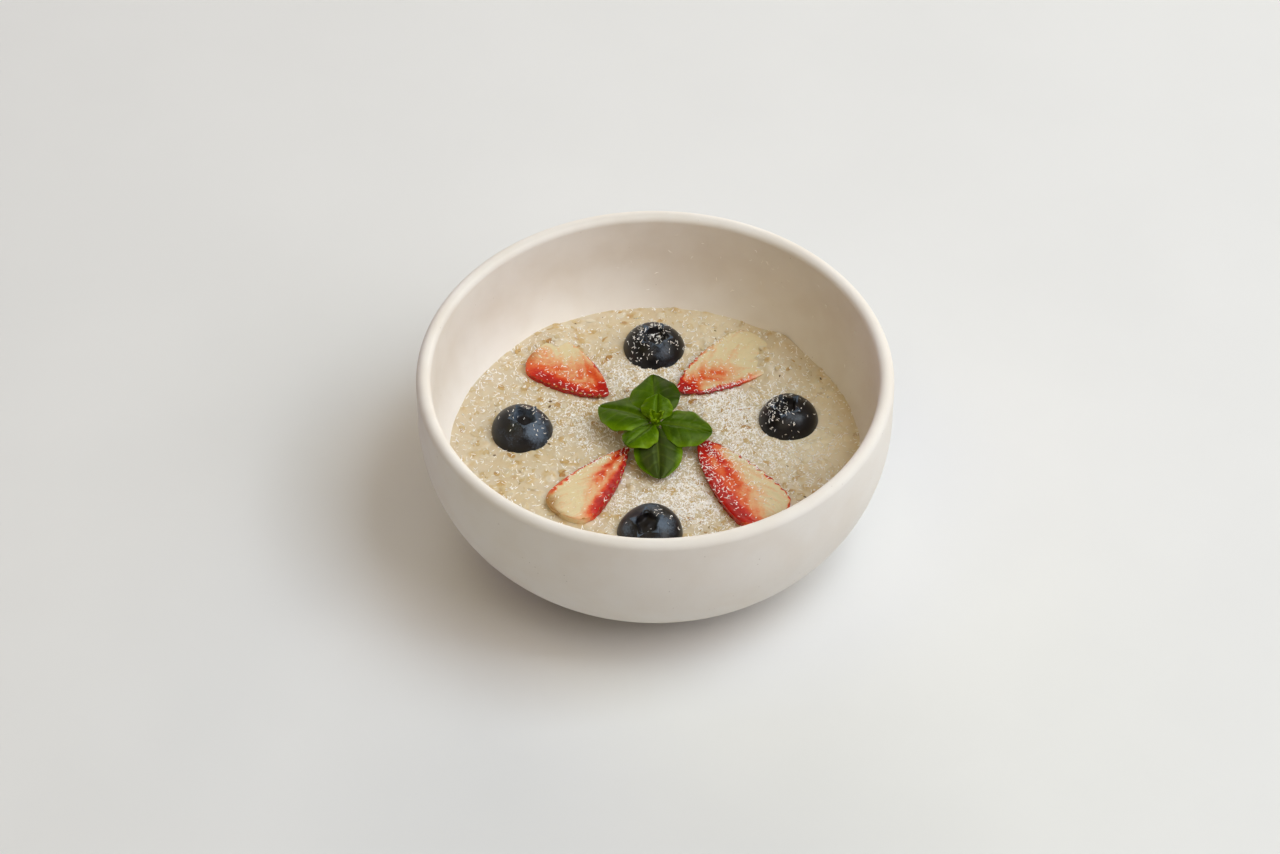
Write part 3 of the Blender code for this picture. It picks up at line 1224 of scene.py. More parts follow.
@dataclass
class Porridge:
    """Set porridge: oat flakes in milk up to a level, over a plain underside."""

    bowl: Bowl
    steps: int = 296
    edge_drop: float = 0.5 * MM
    wave: float = 0.35 * MM
    wave_length: float = 21 * MM
    into_wall: float = 0.25 * MM
    gap: float = 0.3 * MM
    side_shares: tuple[float, ...] = (0.25, 0.55, 0.85, 1.0)
    paste: float = -0.20 * MM
    paste_grain: float = 12 * MM
    flakes: int = 3000
    flake_lengths: tuple[float, float] = (1.0, 1.85)
    flake_widths: tuple[float, float] = (0.62, 0.88)
    flake_slope: float = 0.13
    flake_rise: tuple[float, float] = (-0.12, 0.20)
    flake_tone: tuple[float, float] = (0.40, 0.24)
    cooking: int = 3
    cell: float = 0.2 * MM
    seed: int = 7
    # Patches of painted light: a paler cream tone that lifts the porridge near the right and back
    # walls, where it lies in shade.
    painted_light_lifts: tuple[Patch, ...] = (
        Patch(48 * MM, 2 * MM, 14 * MM, 0.75),
        Patch(46 * MM, 22 * MM, 9 * MM, 0.40),
        Patch(18 * MM, 52 * MM, 10 * MM, 0.40),
    )
    creeps: tuple[Patch, ...] = (
        Patch(-27.5 * MM, 41.5 * MM, 6.0 * MM, 3.0 * MM),
        Patch(32.5 * MM, 33.0 * MM, 6.0 * MM, 2.6 * MM),
        Patch(35.0 * MM, 42.0 * MM, 5.0 * MM, 2.4 * MM),
    )

    def __post_init__(self) -> None:
        """Read the level from the frame."""
        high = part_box("porridge")[1]
        self.level = high.z - 0.15 * MM
        self.radius = self.bowl.inner_radius(self.level - self.edge_drop) + self.into_wall

    def painted_light_at(self, x: np.ndarray | float, y: np.ndarray | float) -> np.ndarray | float:
        """How much painted light lifts the porridge at a place, as a paler cream tone, 0 to 1."""
        return sum(patch.at(x, y) for patch in self.painted_light_lifts)

    def _relief(self) -> Relief:
        """Lay the flakes at random.

        Returns:
            The relief.
        """
        draw = np.random.default_rng(self.seed)
        relief = Relief(self.radius + MM, self.cell)
        relief.height -= 0.25 * MM
        for _ in range(self.flakes):
            x, y = spot_on_disc(draw, self.radius)
            length = draw.uniform(*self.flake_lengths) * MM
            relief.lay_flake(x, y, length, length * draw.uniform(*self.flake_widths),
                             draw.uniform(0.0, math.pi), draw.normal(0.0, self.flake_slope),
                             draw.normal(*self.flake_rise) * MM, tone_of(draw, *self.flake_tone))
        relief.soften(self.cooking)
        return relief

    def _waves(self, spots: np.ndarray) -> np.ndarray:
        """Gentle unevenness that fades at the edge.

        Args:
            spots: Places, as rows of x, y and z.

        Returns:
            The rise at each place.
        """
        fade = 1.0 - (np.hypot(spots[:, 0], spots[:, 1]) / self.radius) ** 4
        lumps = noise_at(spots[:, 0], spots[:, 1], 0.0, self.wave_length)
        return self.wave * np.clip(fade, 0.0, 1.0) * lumps

    def _milky(self, spots: np.ndarray) -> np.ndarray:
        """Where the paste lies smooth over the flakes, 0 to 1."""
        lumps = noise_at(spots[:, 0] + 31 * MM, spots[:, 1], 20 * MM, self.paste_grain)
        return ease(lumps, 0.05, 0.42)

    def _round_off(self, spots: np.ndarray) -> np.ndarray:
        """Map the square grid to a disc of evenly sized cells.

        Args:
            spots: Places, as rows of x, y and z.

        Returns:
            Their new places.
        """
        a, b = spots[:, 0], spots[:, 1]
        wide = np.abs(a) > np.abs(b)
        reach = np.where(wide, a, b)
        safe = np.where(reach == 0.0, 1.0, reach)
        turn = np.where(wide, math.pi / 4.0 * b / safe, math.pi / 2.0 - math.pi / 4.0 * a / safe)
        flat = self.radius * reach
        return rows(flat * np.cos(turn), flat * np.sin(turn), np.full(len(a), self.level))

    def _add_underside(self, item: bpy.types.Object) -> None:
        """Extrude the edge down along the bowl's inner wall and close it.

        Args:
            item: The top of the porridge.
        """
        height, radius = self.level, self.radius
        bottom = self.bowl.floor_height + self.gap
        with editing(item):
            bpy.ops.mesh.region_to_loop()
            for share in self.side_shares:
                next_height = self.level + (bottom - self.level) * share
                next_radius = self.bowl.inner_radius(next_height) + self.into_wall * (1.0 - share)
                bpy.ops.mesh.extrude_region_move(
                    TRANSFORM_OT_translate={"value": (0.0, 0.0, next_height - height)})
                scale = next_radius / radius
                bpy.ops.transform.resize(value=(scale, scale, 1.0))
                height, radius = next_height, next_radius
            bpy.ops.mesh.edge_face_add()

    def build(self, material: bpy.types.Material) -> bpy.types.Object:
        """Build the porridge and dress it.

        Args:
            material: The cooked oats.

        Returns:
            The porridge.
        """
        item = start_grid("set_porridge", self.steps, self.steps)
        reshape(item, self._round_off)
        self._add_underside(item)
        spots = corners_of(item)
        top = spots[:, 2] > self.level - 0.1 * MM
        relief = self._relief()
        flat = spots[top]
        rise = relief.read(relief.height, flat[:, 0], flat[:, 1])
        kind = relief.read(relief.kind, flat[:, 0], flat[:, 1])
        milky = self._milky(flat)
        rise = rise * (1.0 - milky) + np.maximum(rise * 0.25, self.paste) * milky
        edge = np.hypot(flat[:, 0], flat[:, 1]) / self.radius
        drop = self.edge_drop * edge ** 6
        drop = drop - sum(creep.at(flat[:, 0], flat[:, 1]) for creep in self.creeps)
        spots[top, 2] = self.level + self._waves(flat) + np.maximum(rise, self.paste * 1.6) - drop
        flake = np.zeros(len(spots))
        flake[top] = ease(rise, self.paste * 1.5, 0.05 * MM) * (1.0 - 0.7 * milky)
        kinds = np.zeros(len(spots))
        kinds[top] = kind
        # Painted light: the paler cream tone near the right and back walls.
        give_values(item, "cream", self.painted_light_at(spots[:, 0], spots[:, 1]))
        reshape(item, lambda _: spots)
        give_values(item, "flake", flake)
        give_values(item, "kind", kinds)
        close_up(item)
        soften_shading(item, SOFT_ANGLE)
        return present(item, material, Slot.OATS, "porridge")


# Fruit

@dataclass
class Blueberry:
    """A squat blueberry with a crater and a crown of five pointed lobes."""

    node: str
    lean: float
    towards: float
    turn: float
    # Patches of grey bloom, partly real bloom and partly painted sheen.
    bloom: tuple[Patch, ...]
    dust: tuple[Patch, ...]
    squash: float = 0.81
    crater: float = 0.36
    crater_depth: float = 2.0 * MM
    rim_lift: float = 0.45 * MM
    lobe_length: float = 1.9 * MM
    lobe_width: float = 2.6 * MM
    lobe_thickness: float = 0.30 * MM
    lobe_lean: float = 34.0
    lobe_sway: float = 14.0
    lobes: int = 5
    segments: int = 80
    rings: int = 56

    def __post_init__(self) -> None:
        """Read the width from the frame."""
        low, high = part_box(self.node)
        self.radius = (high.x - low.x) / 2.0
        self.middle = middle_of(low, high)

    def catch(self, spot: Vector) -> float:
        """How well the sprinkle stays at a spot."""
        side = (spot - self.middle) / self.radius
        return float(sum(patch.at(side.x, side.y) for patch in self.dust))

    def _body(self) -> bpy.types.Object:
        """Shape a ball into the berry's body.

        Returns:
            The body.
        """
        body = start_ball(self.node + "_body", self.segments, self.rings)

        def shape(spots: np.ndarray) -> np.ndarray:
            """Crowd the rings at the crown and press the crater in.

            Args:
                spots: Places, as rows of x, y and z.

            Returns:
                Their new places.
            """
            around = np.arctan2(spots[:, 1], spots[:, 0])
            down = np.arccos(np.clip(spots[:, 2], -1.0, 1.0)) / math.pi
            polar = math.pi * down ** 1.45
            flat = np.sin(polar)
            upper = polar < math.pi / 2.0
            wobble = 1.0 + 0.012 * np.sin(3.0 * around + self.turn) + 0.006 * np.sin(5.0 * around)
            height = np.cos(polar) * self.radius * self.squash
            star = 0.5 + 0.5 * np.cos(self.lobes * around + self.turn)
            edge = self.crater * (0.84 + 0.22 * star)
            inside = upper * (1.0 - ease(flat / edge, 0.78, 1.04))
            rim = upper * np.exp(-((flat - edge * 1.12) / 0.10) ** 2)
            nub = upper * np.exp(-(flat / 0.07) ** 2)
            height = height - self.crater_depth * inside + self.rim_lift * rim * (0.5 + star)
            height = height + 0.35 * MM * nub
            return rows(flat * np.cos(around) * self.radius * wobble,
                        flat * np.sin(around) * self.radius * wobble, height)

        reshape(body, shape)
        spots = corners_of(body)
        flat = np.hypot(spots[:, 0], spots[:, 1]) / self.radius
        give_values(body, "crown", (spots[:, 2] > 0) * (1.0 - ease(flat, 0.20, 0.34)))
        side = spots / self.radius
        # Bloom patches, partly real bloom and partly painted sheen.
        give_values(body, "bloom", sum(patch.at(side[:, 0], side[:, 1]) for patch in self.bloom))
        return body

    def _lobe(self, number: int) -> bpy.types.Object:
        """Shape one pointed lobe of the crown and stand it on the crater's rim.

        Args:
            number: Its number in the crown.

        Returns:
            The lobe.
        """
        lobe = start_grid(f"{self.node}_lobe_{number}", 6, 6)

        def shape(spots: np.ndarray) -> np.ndarray:
            """Narrow the lobe to its point and curl it outwards.

            Args:
                spots: Places, as rows of x, y and z.

            Returns:
                Their new places.
            """
            up = (spots[:, 0] + 1.0) / 2.0
            half = self.lobe_width / 2.0 * (1.0 - up ** 1.6 * 0.94)
            curl = 0.62 * up * up * self.lobe_length
            cup = 0.35 * MM * (1.0 - spots[:, 1] ** 2)
            return rows(curl + cup, spots[:, 1] * half, up * self.lobe_length * 0.72)

        reshape(lobe, shape)
        apply_modifier(lobe, "SOLIDIFY", thickness=self.lobe_thickness, offset=0.0)
        rise = corners_of(lobe)[:, 2] / self.lobe_length
        give_values(lobe, "crown", np.full(len(rise), 0.10))
        # The lobes grow paler towards their tips, in bloom and painted sheen.
        give_values(lobe, "bloom", 0.75 + 0.6 * rise)
        out = self.crater * self.radius * 0.92
        base = self.radius * self.squash * math.cos(math.asin(self.crater)) + 0.05 * MM
        spread = math.tau * number / self.lobes - self.turn / self.lobes
        lean = self.lobe_lean + self.lobe_sway * math.sin(2.4 * number + self.turn)
        tilt = Matrix.Rotation(math.radians(lean), 4, "Y")
        set_down(lobe, Matrix.Rotation(spread, 4, "Z") @ Matrix.Translation((out, 0.0, base)) @ tilt)
        return lobe

    def build(self, material: bpy.types.Material) -> bpy.types.Object:
        """Build the berry and dress it.

        Args:
            material: The berry's skin.

        Returns:
            The berry.
        """
        body = self._body()
        pieces = [body] + [self._lobe(number) for number in range(self.lobes)]
        berry = join_pieces("berry_" + self.node.removeprefix("blueberry_"), pieces)
        towards = math.radians(self.towards)
        axis = Vector((-math.sin(towards), math.cos(towards), 0.0))
        set_down(berry, Matrix.Rotation(math.radians(self.lean), 4, axis))
        node_low, node_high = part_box(self.node)
        slide_into(berry, node_low, node_high, by_top=False)
        soften_shading(berry)
        return present(berry, material, Slot.BERRY, self.node)


@dataclass(frozen=True)
class Zone:
    """A blush of riper or paler flesh on a cut face.

    Along runs from 0 at the tip to 1 at the shoulder, and across from -1 to 1.
    """

    along: float
    across: float
    long: float
    wide: float
    strength: float


@dataclass
class StrawberryHalf:
    """Half a strawberry with its cut face up, its skin pitted by seeds."""

    node: str
    heading: float
    length: float
    width: float
    depth: float
    taper: float
    roll: float
    edge_left: float
    edge_right: float
    base: float
    zones: tuple[Zone, ...]
    pale_rims: tuple[Zone, ...]
    scorch: tuple[Zone, ...]
    dust: tuple[Zone, ...]
    shoulder: float = 14.0
    widest: float = 0.86
    along_steps: int = 110
    across_steps: int = 56
    around_steps: int = 60
    pit_rows: int = 21
    pit_columns: int = 5
    pit_depth: float = 0.62 * MM
    pit_reach: float = 0.80 * MM
    edge_round: float = 0.28 * MM

    def _outline(self, share: np.ndarray) -> np.ndarray:
        """Half width along the length before scaling."""
        end = np.sqrt(np.clip(1.0 - share ** self.shoulder, 0.0, None))
        return np.clip(share * (2.0 - share), 0.0, None) ** self.taper * end

    def half_width(self, share: np.ndarray) -> np.ndarray:
        """Half width along the length, as a share of the greatest."""
        return self._outline(share) / self._outline(np.array(self.widest))

    def pits(self) -> list[tuple[float, float]]:
        """Places of the seeds: share of the length, and angle round the skin.

        Returns:
            Their places.
        """
        found = []
        for row in range(self.pit_rows):
            share = 0.07 + 0.86 * row / (self.pit_rows - 1)
            for column in range(-1, self.pit_columns + 1):
                angle = math.pi * (column + 0.5 * (row % 2) + 0.1) / self.pit_columns
                if -0.02 <= angle <= math.pi + 0.02:
                    found.append((share, angle))
        return found

    def skin_spots(self, share: np.ndarray, angle: np.ndarray) -> np.ndarray:
        """Places on the skin.

        Args:
            share: Share of the length from the tip.
            angle: Angle round the skin, 0 and pi at the cut.

        Returns:
            The places, with the cut at height 0 and the skin below it.
        """
        half = self.half_width(share)
        dip = np.zeros_like(share)
        for pit_share, pit_angle in self.pits():
            run = (share - pit_share) * self.length
            turn = (angle - pit_angle) * np.maximum(half, 0.15) * self.width / 2.0
            dip += np.exp(-(run * run + turn * turn) / self.pit_reach ** 2)
        dip = np.clip(dip, 0.0, 1.0) * self.pit_depth * ease(share, 0.0, 0.08)
        side = np.cos(angle)
        down = np.sin(angle)
        across = side * (half * self.width / 2.0 - dip)
        below = -down * (half * self.depth - dip)
        return rows(share * self.length, across, below)

    def _ends(self, share: np.ndarray) -> np.ndarray:
        """1 along the half, and 0 at its two ends, where face and skin close to a point."""
        return ease(share, 0.0, 0.02) * (1.0 - ease(share, 0.985, 1.0))

    def _face(self) -> bpy.types.Object:
        """Shape the cut face: a flat blade with a soft hollow and fibres.

        Returns:
            The face.
        """
        face = start_grid(self.node + "_face", self.along_steps, self.across_steps)
        spots = corners_of(face)
        share = ((spots[:, 0] + 1.0) / 2.0) ** 1.3
        across = spots[:, 1]
        left = self.skin_spots(share, np.zeros_like(share))[:, 1]
        right = -self.skin_spots(share, np.full_like(share, math.pi))[:, 1]
        side = np.where(across > 0.0, left, right)
        reach = np.abs(across)
        fibres = noise_at(share * (1.0 - 0.4 * reach) * 26.0, across * 5.0, 0.5)
        hollow = -0.25 * MM * (1.0 - reach ** 2) * np.sin(math.pi * share) ** 0.5
        core = 0.16 * MM * np.exp(-((across - 0.05) / 0.22) ** 2) * ease(share, 0.2, 0.5)
        rounding = -self.edge_round * ease(reach, 0.90, 1.0)
        height = (hollow + core + fibres * 0.10 * MM) * (1.0 - ease(reach, 0.85, 1.0)) + rounding
        height = height * self._ends(share)
        ripe = self._ripeness(share, across)
        tan = self._blush(self.scorch, share, across)
        placed = rows(share * self.length, across * side, height)
        reshape(face, lambda _: placed)
        give_values(face, "ripe", ripe)
        give_values(face, "tan", np.clip(tan, 0.0, 1.0))
        give_values(face, "skin", ease(reach, 0.94, 1.0) * 0.6)
        return face

    def _blush(self, zones: Sequence[Zone], share: np.ndarray, across: np.ndarray) -> np.ndarray:
        """Sum the blushes at places on the face.

        Args:
            zones: The blushes.
            share: Share of the length from the tip.
            across: Place across the face, from -1 to 1.

        Returns:
            The strength at each place.
        """
        total = np.zeros_like(share)
        for zone in zones:
            run = (share - zone.along) / zone.long
            side = (across - zone.across) / zone.wide
            total += zone.strength * np.exp(-(run * run + side * side))
        return total

    def _ripeness(self, share: np.ndarray, across: np.ndarray) -> np.ndarray:
        """Ripeness of the flesh: redder at the skin and where it blushes.

        Args:
            share: Share of the length from the tip.
            across: Place across the face, from -1 to 1.

        Returns:
            Ripeness from 0 to 1.
        """
        ragged = noise_at(share * self.length / (1.6 * MM), np.sign(across), 7.7)
        reach = np.abs(across) + 0.16 * ragged * ease(np.abs(across), 0.3, 0.9)
        edge = np.where(across > 0.0, self.edge_left, self.edge_right)
        rind = ease(reach, 1.0 - edge, 1.0 - 0.2 * edge)
        tip = 0.70 * (1.0 - ease(share + 0.05 * ragged, 0.04, 0.20))
        streaks = noise_at(share * (1.0 - 0.5 * np.abs(across)) * 17.0, across * 2.2, 4.2)
        flesh = self.base + tip + self._blush(self.zones, share, across) + 0.16 * streaks
        return np.clip(flesh, 0.0, 0.9) * (1.0 - rind) + 0.92 * rind * self._rind(share, across)

    def _rind(self, share: np.ndarray, across: np.ndarray) -> np.ndarray:
        """How red the rim is, 1 or less: it pales where the skin was in the shade."""
        return np.clip(1.0 - self._blush(self.pale_rims, share, across), 0.0, 1.0)

    def _skin(self) -> bpy.types.Object:
        """Shape the skin below the face.

        Returns:
            The skin.
        """
        skin = start_grid(self.node + "_skin", self.along_steps, self.around_steps)
        spots = corners_of(skin)
        share = ((spots[:, 0] + 1.0) / 2.0) ** 1.3
        angle = math.pi * (1.0 - spots[:, 1]) / 2.0
        placed = self.skin_spots(share, angle)
        placed[:, 2] -= self.edge_round * np.abs(np.cos(angle)) ** 6 * self._ends(share)
        reshape(skin, lambda _: placed)
        pale = self._blush(self.scorch, share, np.cos(angle))
        shoulder = 0.35 * ease(share, 0.82, 1.0)
        give_values(skin, "ripe", (0.94 - shoulder - 0.35 * pale)
                    * self._rind(share, np.cos(angle)))
        give_values(skin, "tan", np.clip(pale * 0.7, 0.0, 1.0))
        give_values(skin, "skin", np.ones(len(spots)))
        return skin

    def place(self) -> Matrix:
        """The turn of the half before it is slid to its node."""
        heading = Matrix.Rotation(math.radians(self.heading), 4, "Z")
        return heading @ Matrix.Rotation(math.radians(self.roll), 4, "X")

    def build(self, material: bpy.types.Material) -> bpy.types.Object:
        """Build the half and dress it.

        Args:
            material: The strawberry's flesh and skin.

        Returns:
            The half.
        """
        half = join_pieces(self.node.replace("strawberry", "half"), [self._face(), self._skin()])
        close_up(half)
        set_down(half, self.place())
        node_low, node_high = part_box(self.node)
        self.slide = slide_into(half, node_low, node_high, by_top=True)
        soften_shading(half, CRISP_ANGLE)
        return present(half, material, Slot.STRAWBERRY, self.node)

    def catch(self, spot: Vector) -> float:
        """How well the sprinkle stays at a spot.

        Args:
            spot: The spot.

        Returns:
            How well it catches the sprinkle, 0 to 1.
        """
        local = (Matrix.Translation(self.slide) @ self.place()).inverted() @ spot
        share = np.clip(local.x / self.length, 0.01, 0.99)
        across = np.clip(2.0 * local.y / self.width / self.half_width(share), -1.0, 1.0)
        return 0.02 + float(self._blush(self.dust, np.array([share]), np.array([across]))[0])

    def seed_places(self) -> list[Matrix]:
        """Where the seeds lie, each in its pit and pointing to the tip.

        Returns:
            Their places.
        """
        places = []
        turn = Matrix.Translation(self.slide) @ self.place()
        step = 0.004
        for share, angle in self.pits():
            if not 0.06 < angle < math.pi - 0.06:
                continue
            grid = self.skin_spots(np.array([share, share + step, share]),
                                   np.array([angle, angle, angle + step * 4.0]))
            spot, ahead, beside = (Vector(row) for row in grid)
            along = (ahead - spot).normalized()
            out = (beside - spot).cross(along).normalized()
            if out.dot(Vector((0.0, math.cos(angle), -math.sin(angle)))) < 0.0:
                out = -out
            side = out.cross(along)
            basis = Matrix((along, side, out)).transposed().to_4x4()
            places.append(turn @ Matrix.Translation(spot + out * 0.06 * MM) @ basis)
        return places


@dataclass
class Seeds:
    """Strawberry seeds, one small drop in each pit of the skins."""

    halves: Sequence[StrawberryHalf]
    length: float = 0.62 * MM
    width: float = 0.36 * MM
    thickness: float = 0.20 * MM

    def build(self, material: bpy.types.Material) -> bpy.types.Object:
        """Build all seeds as one piece and dress it.

        Args:
            material: The husk.

        Returns:
            The seeds.
        """
        seed = start_ball("seed", 8, 6)

        def shape(spots: np.ndarray) -> np.ndarray:
            """Draw the ball out to a drop."""
            slim = 1.0 - 0.45 * (spots[:, 0] + 1.0) / 2.0
            return rows(spots[:, 0] * self.length, spots[:, 1] * slim * self.width,
                        spots[:, 2] * slim * self.thickness)

        reshape(seed, shape)
        places = [place for half in self.halves for place in half.seed_places()]
        seeds = scatter("strawberry_seeds", [seed], places)
        soften_shading(seeds)
        return present(seeds, material, Slot.STRAWBERRY)


# Basil

@dataclass
class Leaf:
    """One basil leaf: its heading, size, and how it rises, droops and domes."""

    heading: float
    length: float
    width: float
    rise: float
    droop: float
    dome: float
    roll: float
    # The leaf's light, its edge brightening and its shaded half are painted light and shade: its
    # overall brightness, brighter edges where light shines through, and a darker half.
    light: float
    painted_edge_light: float
    painted_shade_side: float = 0.08
    veins: int = 5
    long_steps: int = 64
    wide_steps: int = 44
    stalk: float = 0.10
    lean: float = 0.9
    roundness: float = 0.55
    base_width: float = 1.2 * MM
    tip_width: float = 0.7 * MM
    thickness: float = 0.34 * MM
    blister: float = 0.14 * MM

    def _half_width(self, share: np.ndarray) -> np.ndarray:
        """Half width along the length, blunt at the stem and the tip.

        Args:
            share: Share of the length from the joint.

        Returns:
            The half width at each place.
        """
        inside = np.clip((share - self.stalk) / (1.0 - self.stalk), 0.0, 1.0)
        blade = np.clip(np.sin(math.pi * inside ** self.lean), 0.0, None) ** self.roundness
        ends = self.base_width + (self.tip_width - self.base_width) * share
        return np.maximum(blade * self.width, ends) / 2.0

    def _vein(self, share: np.ndarray, across: np.ndarray) -> np.ndarray:
        """How near a place is to a vein, 0 to 1.

        Args:
            share: Share of the length from the joint.
            across: Place across the leaf, from -1 to 1.

        Returns:
            The nearness at each place.
        """
        reach = np.abs(across)
        middle = np.exp(-(across * (0.6 + 0.6 * share) / 0.055) ** 2)
        branch = (share - 0.30 * reach + 0.10 * reach * reach) * self.veins / 0.92
        offset = np.where(across > 0.0, 0.0, 0.28)
        near = np.abs(branch + offset - np.round(branch + offset))
        side = np.exp(-(near / (0.10 - 0.04 * reach)) ** 2) * (1.0 - ease(reach, 0.72, 0.95))
        return np.clip(np.maximum(middle, 0.45 * side), 0.0, 1.0) * (1.0 - 0.5 * ease(share, 0.8, 1.0))

    def build(self, number: int) -> bpy.types.Object:
        """Shape the leaf around the joint of the sprig.

        Args:
            number: Its number in the sprig.

        Returns:
            The leaf, with the joint at the origin.
        """
        leaf = start_grid(f"leaf_{number}", self.long_steps, self.wide_steps)
        spots = corners_of(leaf)
        share, across = (spots[:, 0] + 1.0) / 2.0, spots[:, 1]
        reach = np.abs(across)
        vein = self._vein(share, across)
        bend = np.radians(self.droop) * share
        rise = math.radians(self.rise)
        chord = rise - bend / 2.0
        half = self._half_width(share)
        ripple = 0.30 * MM * np.sin(share * 19.0 + number) * ease(reach, 0.55, 1.0)
        puff = self.blister * (1.0 - vein) * (1.0 - ease(reach, 0.75, 1.0)) * ease(share, 0.04, 0.2)
        fold = self.dome * half * across * across
        keel = 0.55 * MM * np.exp(-(across / 0.16) ** 2)
        sag = fold - puff - ripple + keel
        along = self.length * share
        placed = rows(along * np.cos(chord) + sag * np.sin(rise - bend), across * half,
                      along * np.sin(chord) - sag * np.cos(rise - bend))
        reshape(leaf, lambda _: placed)
        # Painted light and shade: brighter towards the edges, darker along the middle, and darker
        # still on one shaded half.
        light = self.light + self.painted_edge_light * ease(reach, 0.62, 1.0) - 0.10 * (1.0 - reach)
        light = light - self.painted_shade_side * ease(-across, 0.12, 0.5)
        give_values(leaf, "vein", vein)
        give_values(leaf, "light", light)
        apply_modifier(leaf, "SOLIDIFY", thickness=self.thickness, offset=0.0,
                       use_even_offset=False)
        turn = Matrix.Rotation(math.radians(self.heading), 4, "Z")
        set_down(leaf, turn @ Matrix.Rotation(math.radians(self.roll), 4, "X"))
        return leaf


@dataclass
class BasilSprig:
    """Six leaves, three tiny budding leaves and a short stem."""

    joint_from_low: tuple[float, float, float] = (15.8 * MM, 16.9 * MM, 6.35 * MM)
    stem_radius: float = 0.85 * MM
    bud_headings: tuple[float, ...] = (30.0, 130.0, -120.0)
    leaves: tuple[Leaf, ...] = (
        Leaf(92, 17.2 * MM, 14.4 * MM, 24, 38, 0.24, -10, 0.56, 0.10, painted_shade_side=0.40),
        Leaf(152, 17.6 * MM, 15.2 * MM, 12, 36, 0.18, 6, 0.50, 0.22),
        Leaf(-7, 15.6 * MM, 13.0 * MM, 8, 30, 0.24, 4, 0.48, 0.26),
        Leaf(-86, 17.4 * MM, 13.4 * MM, -8, 14, 0.18, 0, 0.16, 0.56),
        Leaf(-136, 11.4 * MM, 10.6 * MM, 12, 30, 0.24, 4, 0.58, 0.24),
        Leaf(86, 8.6 * MM, 8.8 * MM, 42, 40, 0.24, 0, 0.60, 0.20),
    )

    def _stem(self) -> bpy.types.Object:
        """Shape the stem: a bent stalk from the porridge to the joint.

        Returns:
            The stem.
        """
        height = self.joint_from_low[2] + 0.4 * MM
        deselect_all()
        bpy.ops.mesh.primitive_cylinder_add(vertices=16, radius=self.stem_radius, depth=height,
                                            location=(0.0, 0.0, -height / 2.0))
        stem = named("stem")
        bpy.ops.object.transform_apply(location=True, rotation=True, scale=True)
        with editing(stem):
            bpy.ops.mesh.subdivide(number_cuts=4)

        def shape(spots: np.ndarray) -> np.ndarray:
            """Swell the top and bend the stalk.

            Args:
                spots: Places, as rows of x, y and z.

            Returns:
                Their new places.
            """
            down = -spots[:, 2] / height
            swell = 1.0 + 0.5 * np.exp(-(down / 0.12) ** 2)
            return rows(spots[:, 0] * swell + 0.8 * MM * down * down, spots[:, 1] * swell,
                        spots[:, 2])

        reshape(stem, shape)
        for name, value in (("light", 0.62), ("vein", 0.35)):
            give_values(stem, name, np.full(len(stem.data.vertices), value))
        return stem

    def _bud(self, number: int, heading: float) -> bpy.types.Object:
        """Shape a tiny folded leaf at the joint.

        Args:
            number: Its number in the sprig.
            heading: Its heading in degrees.

        Returns:
            The bud.
        """
        bud = Leaf(heading, 4.2 * MM, 2.2 * MM, 52, -10, -0.5, 0, 0.85, 0.1, long_steps=16,
                   wide_steps=8, base_width=0.8 * MM, tip_width=0.3 * MM, blister=0.0)
        return bud.build(number)

    def build(self, material: bpy.types.Material) -> bpy.types.Object:
        """Build the sprig and dress it.

        Args:
            material: The leaf.

        Returns:
            The sprig.
        """
        pieces = [leaf.build(number) for number, leaf in enumerate(self.leaves)]
        pieces.append(self._stem())
        pieces.extend(self._bud(10 + number, heading)
                      for number, heading in enumerate(self.bud_headings))
        sprig = join_pieces("sprig_of_basil", pieces)
        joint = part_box("basil_sprig")[0] + Vector(self.joint_from_low)
        set_down(sprig, Matrix.Translation(joint))
        soften_shading(sprig, CRISP_ANGLE)
        return present(sprig, material, Slot.LEAF, "basil_sprig")


# Sprinkled things

class Landing:
    """Finds where something dropped on the food comes to rest."""

    def __init__(self, pieces: Sequence[bpy.types.Object]) -> None:
        """Prepare the pieces for dropping on.

        Args:
            pieces: The pieces that can be hit.
        """
        graph = bpy.context.evaluated_depsgraph_get()
        self.trees = [(piece.name, BVHTree.FromObject(piece, graph)) for piece in pieces]
        self.start = CAD_BOX[1].z * 1.5

    def drop(self, x: float, y: float) -> Hit | None:
        """Drop straight down at a place.

        Args:
            x: Place of the drop.
            y: Place of the drop.

        Returns:
            The name of the piece that is hit, the spot and its normal, or None.
        """
        best = None
        for name, tree in self.trees:
            spot, normal, _, _ = tree.ray_cast(Vector((x, y, self.start)), Vector((0, 0, -1)))
            if spot is not None and (best is None or spot.z > best[1].z):
                best = (name, spot, normal)
        return best

    def hits(self, draw: np.random.Generator, radius: float) -> Iterator[Hit]:
        """Drop things at random on a disc for ever, and give each hit.

        Args:
            draw: Source of the random numbers.
            radius: Radius of the disc.

        Returns:
            The hits, each as a piece's name, a spot and a normal.
        """
        while True:
            hit = self.drop(*spot_on_disc(draw, radius))
            if hit is not None:
                yield hit


def resting(spot: Vector, normal: Vector, turn: float, pitch: float, roll: float, size: float,
            sink: float) -> Matrix:
    """Lay a small thing on a surface.

    Args:
        spot: Where it lies.
        normal: The surface's normal.
        turn: Its heading in radians.
        pitch: Tilt of its long axis in radians.
        roll: Roll about its long axis in radians.
        size: Its scale.
        sink: How deep it sinks.

    Returns:
        Its place.
    """
    lie = Vector((0.0, 0.0, 1.0)).rotation_difference(normal).to_matrix().to_4x4()
    spin = Matrix.Rotation(turn, 4, "Z") @ Matrix.Rotation(pitch, 4, "Y")
    spin = spin @ Matrix.Rotation(roll, 4, "X")
    return Matrix.Translation(spot - normal * sink) @ lie @ spin @ Matrix.Scale(size, 4)


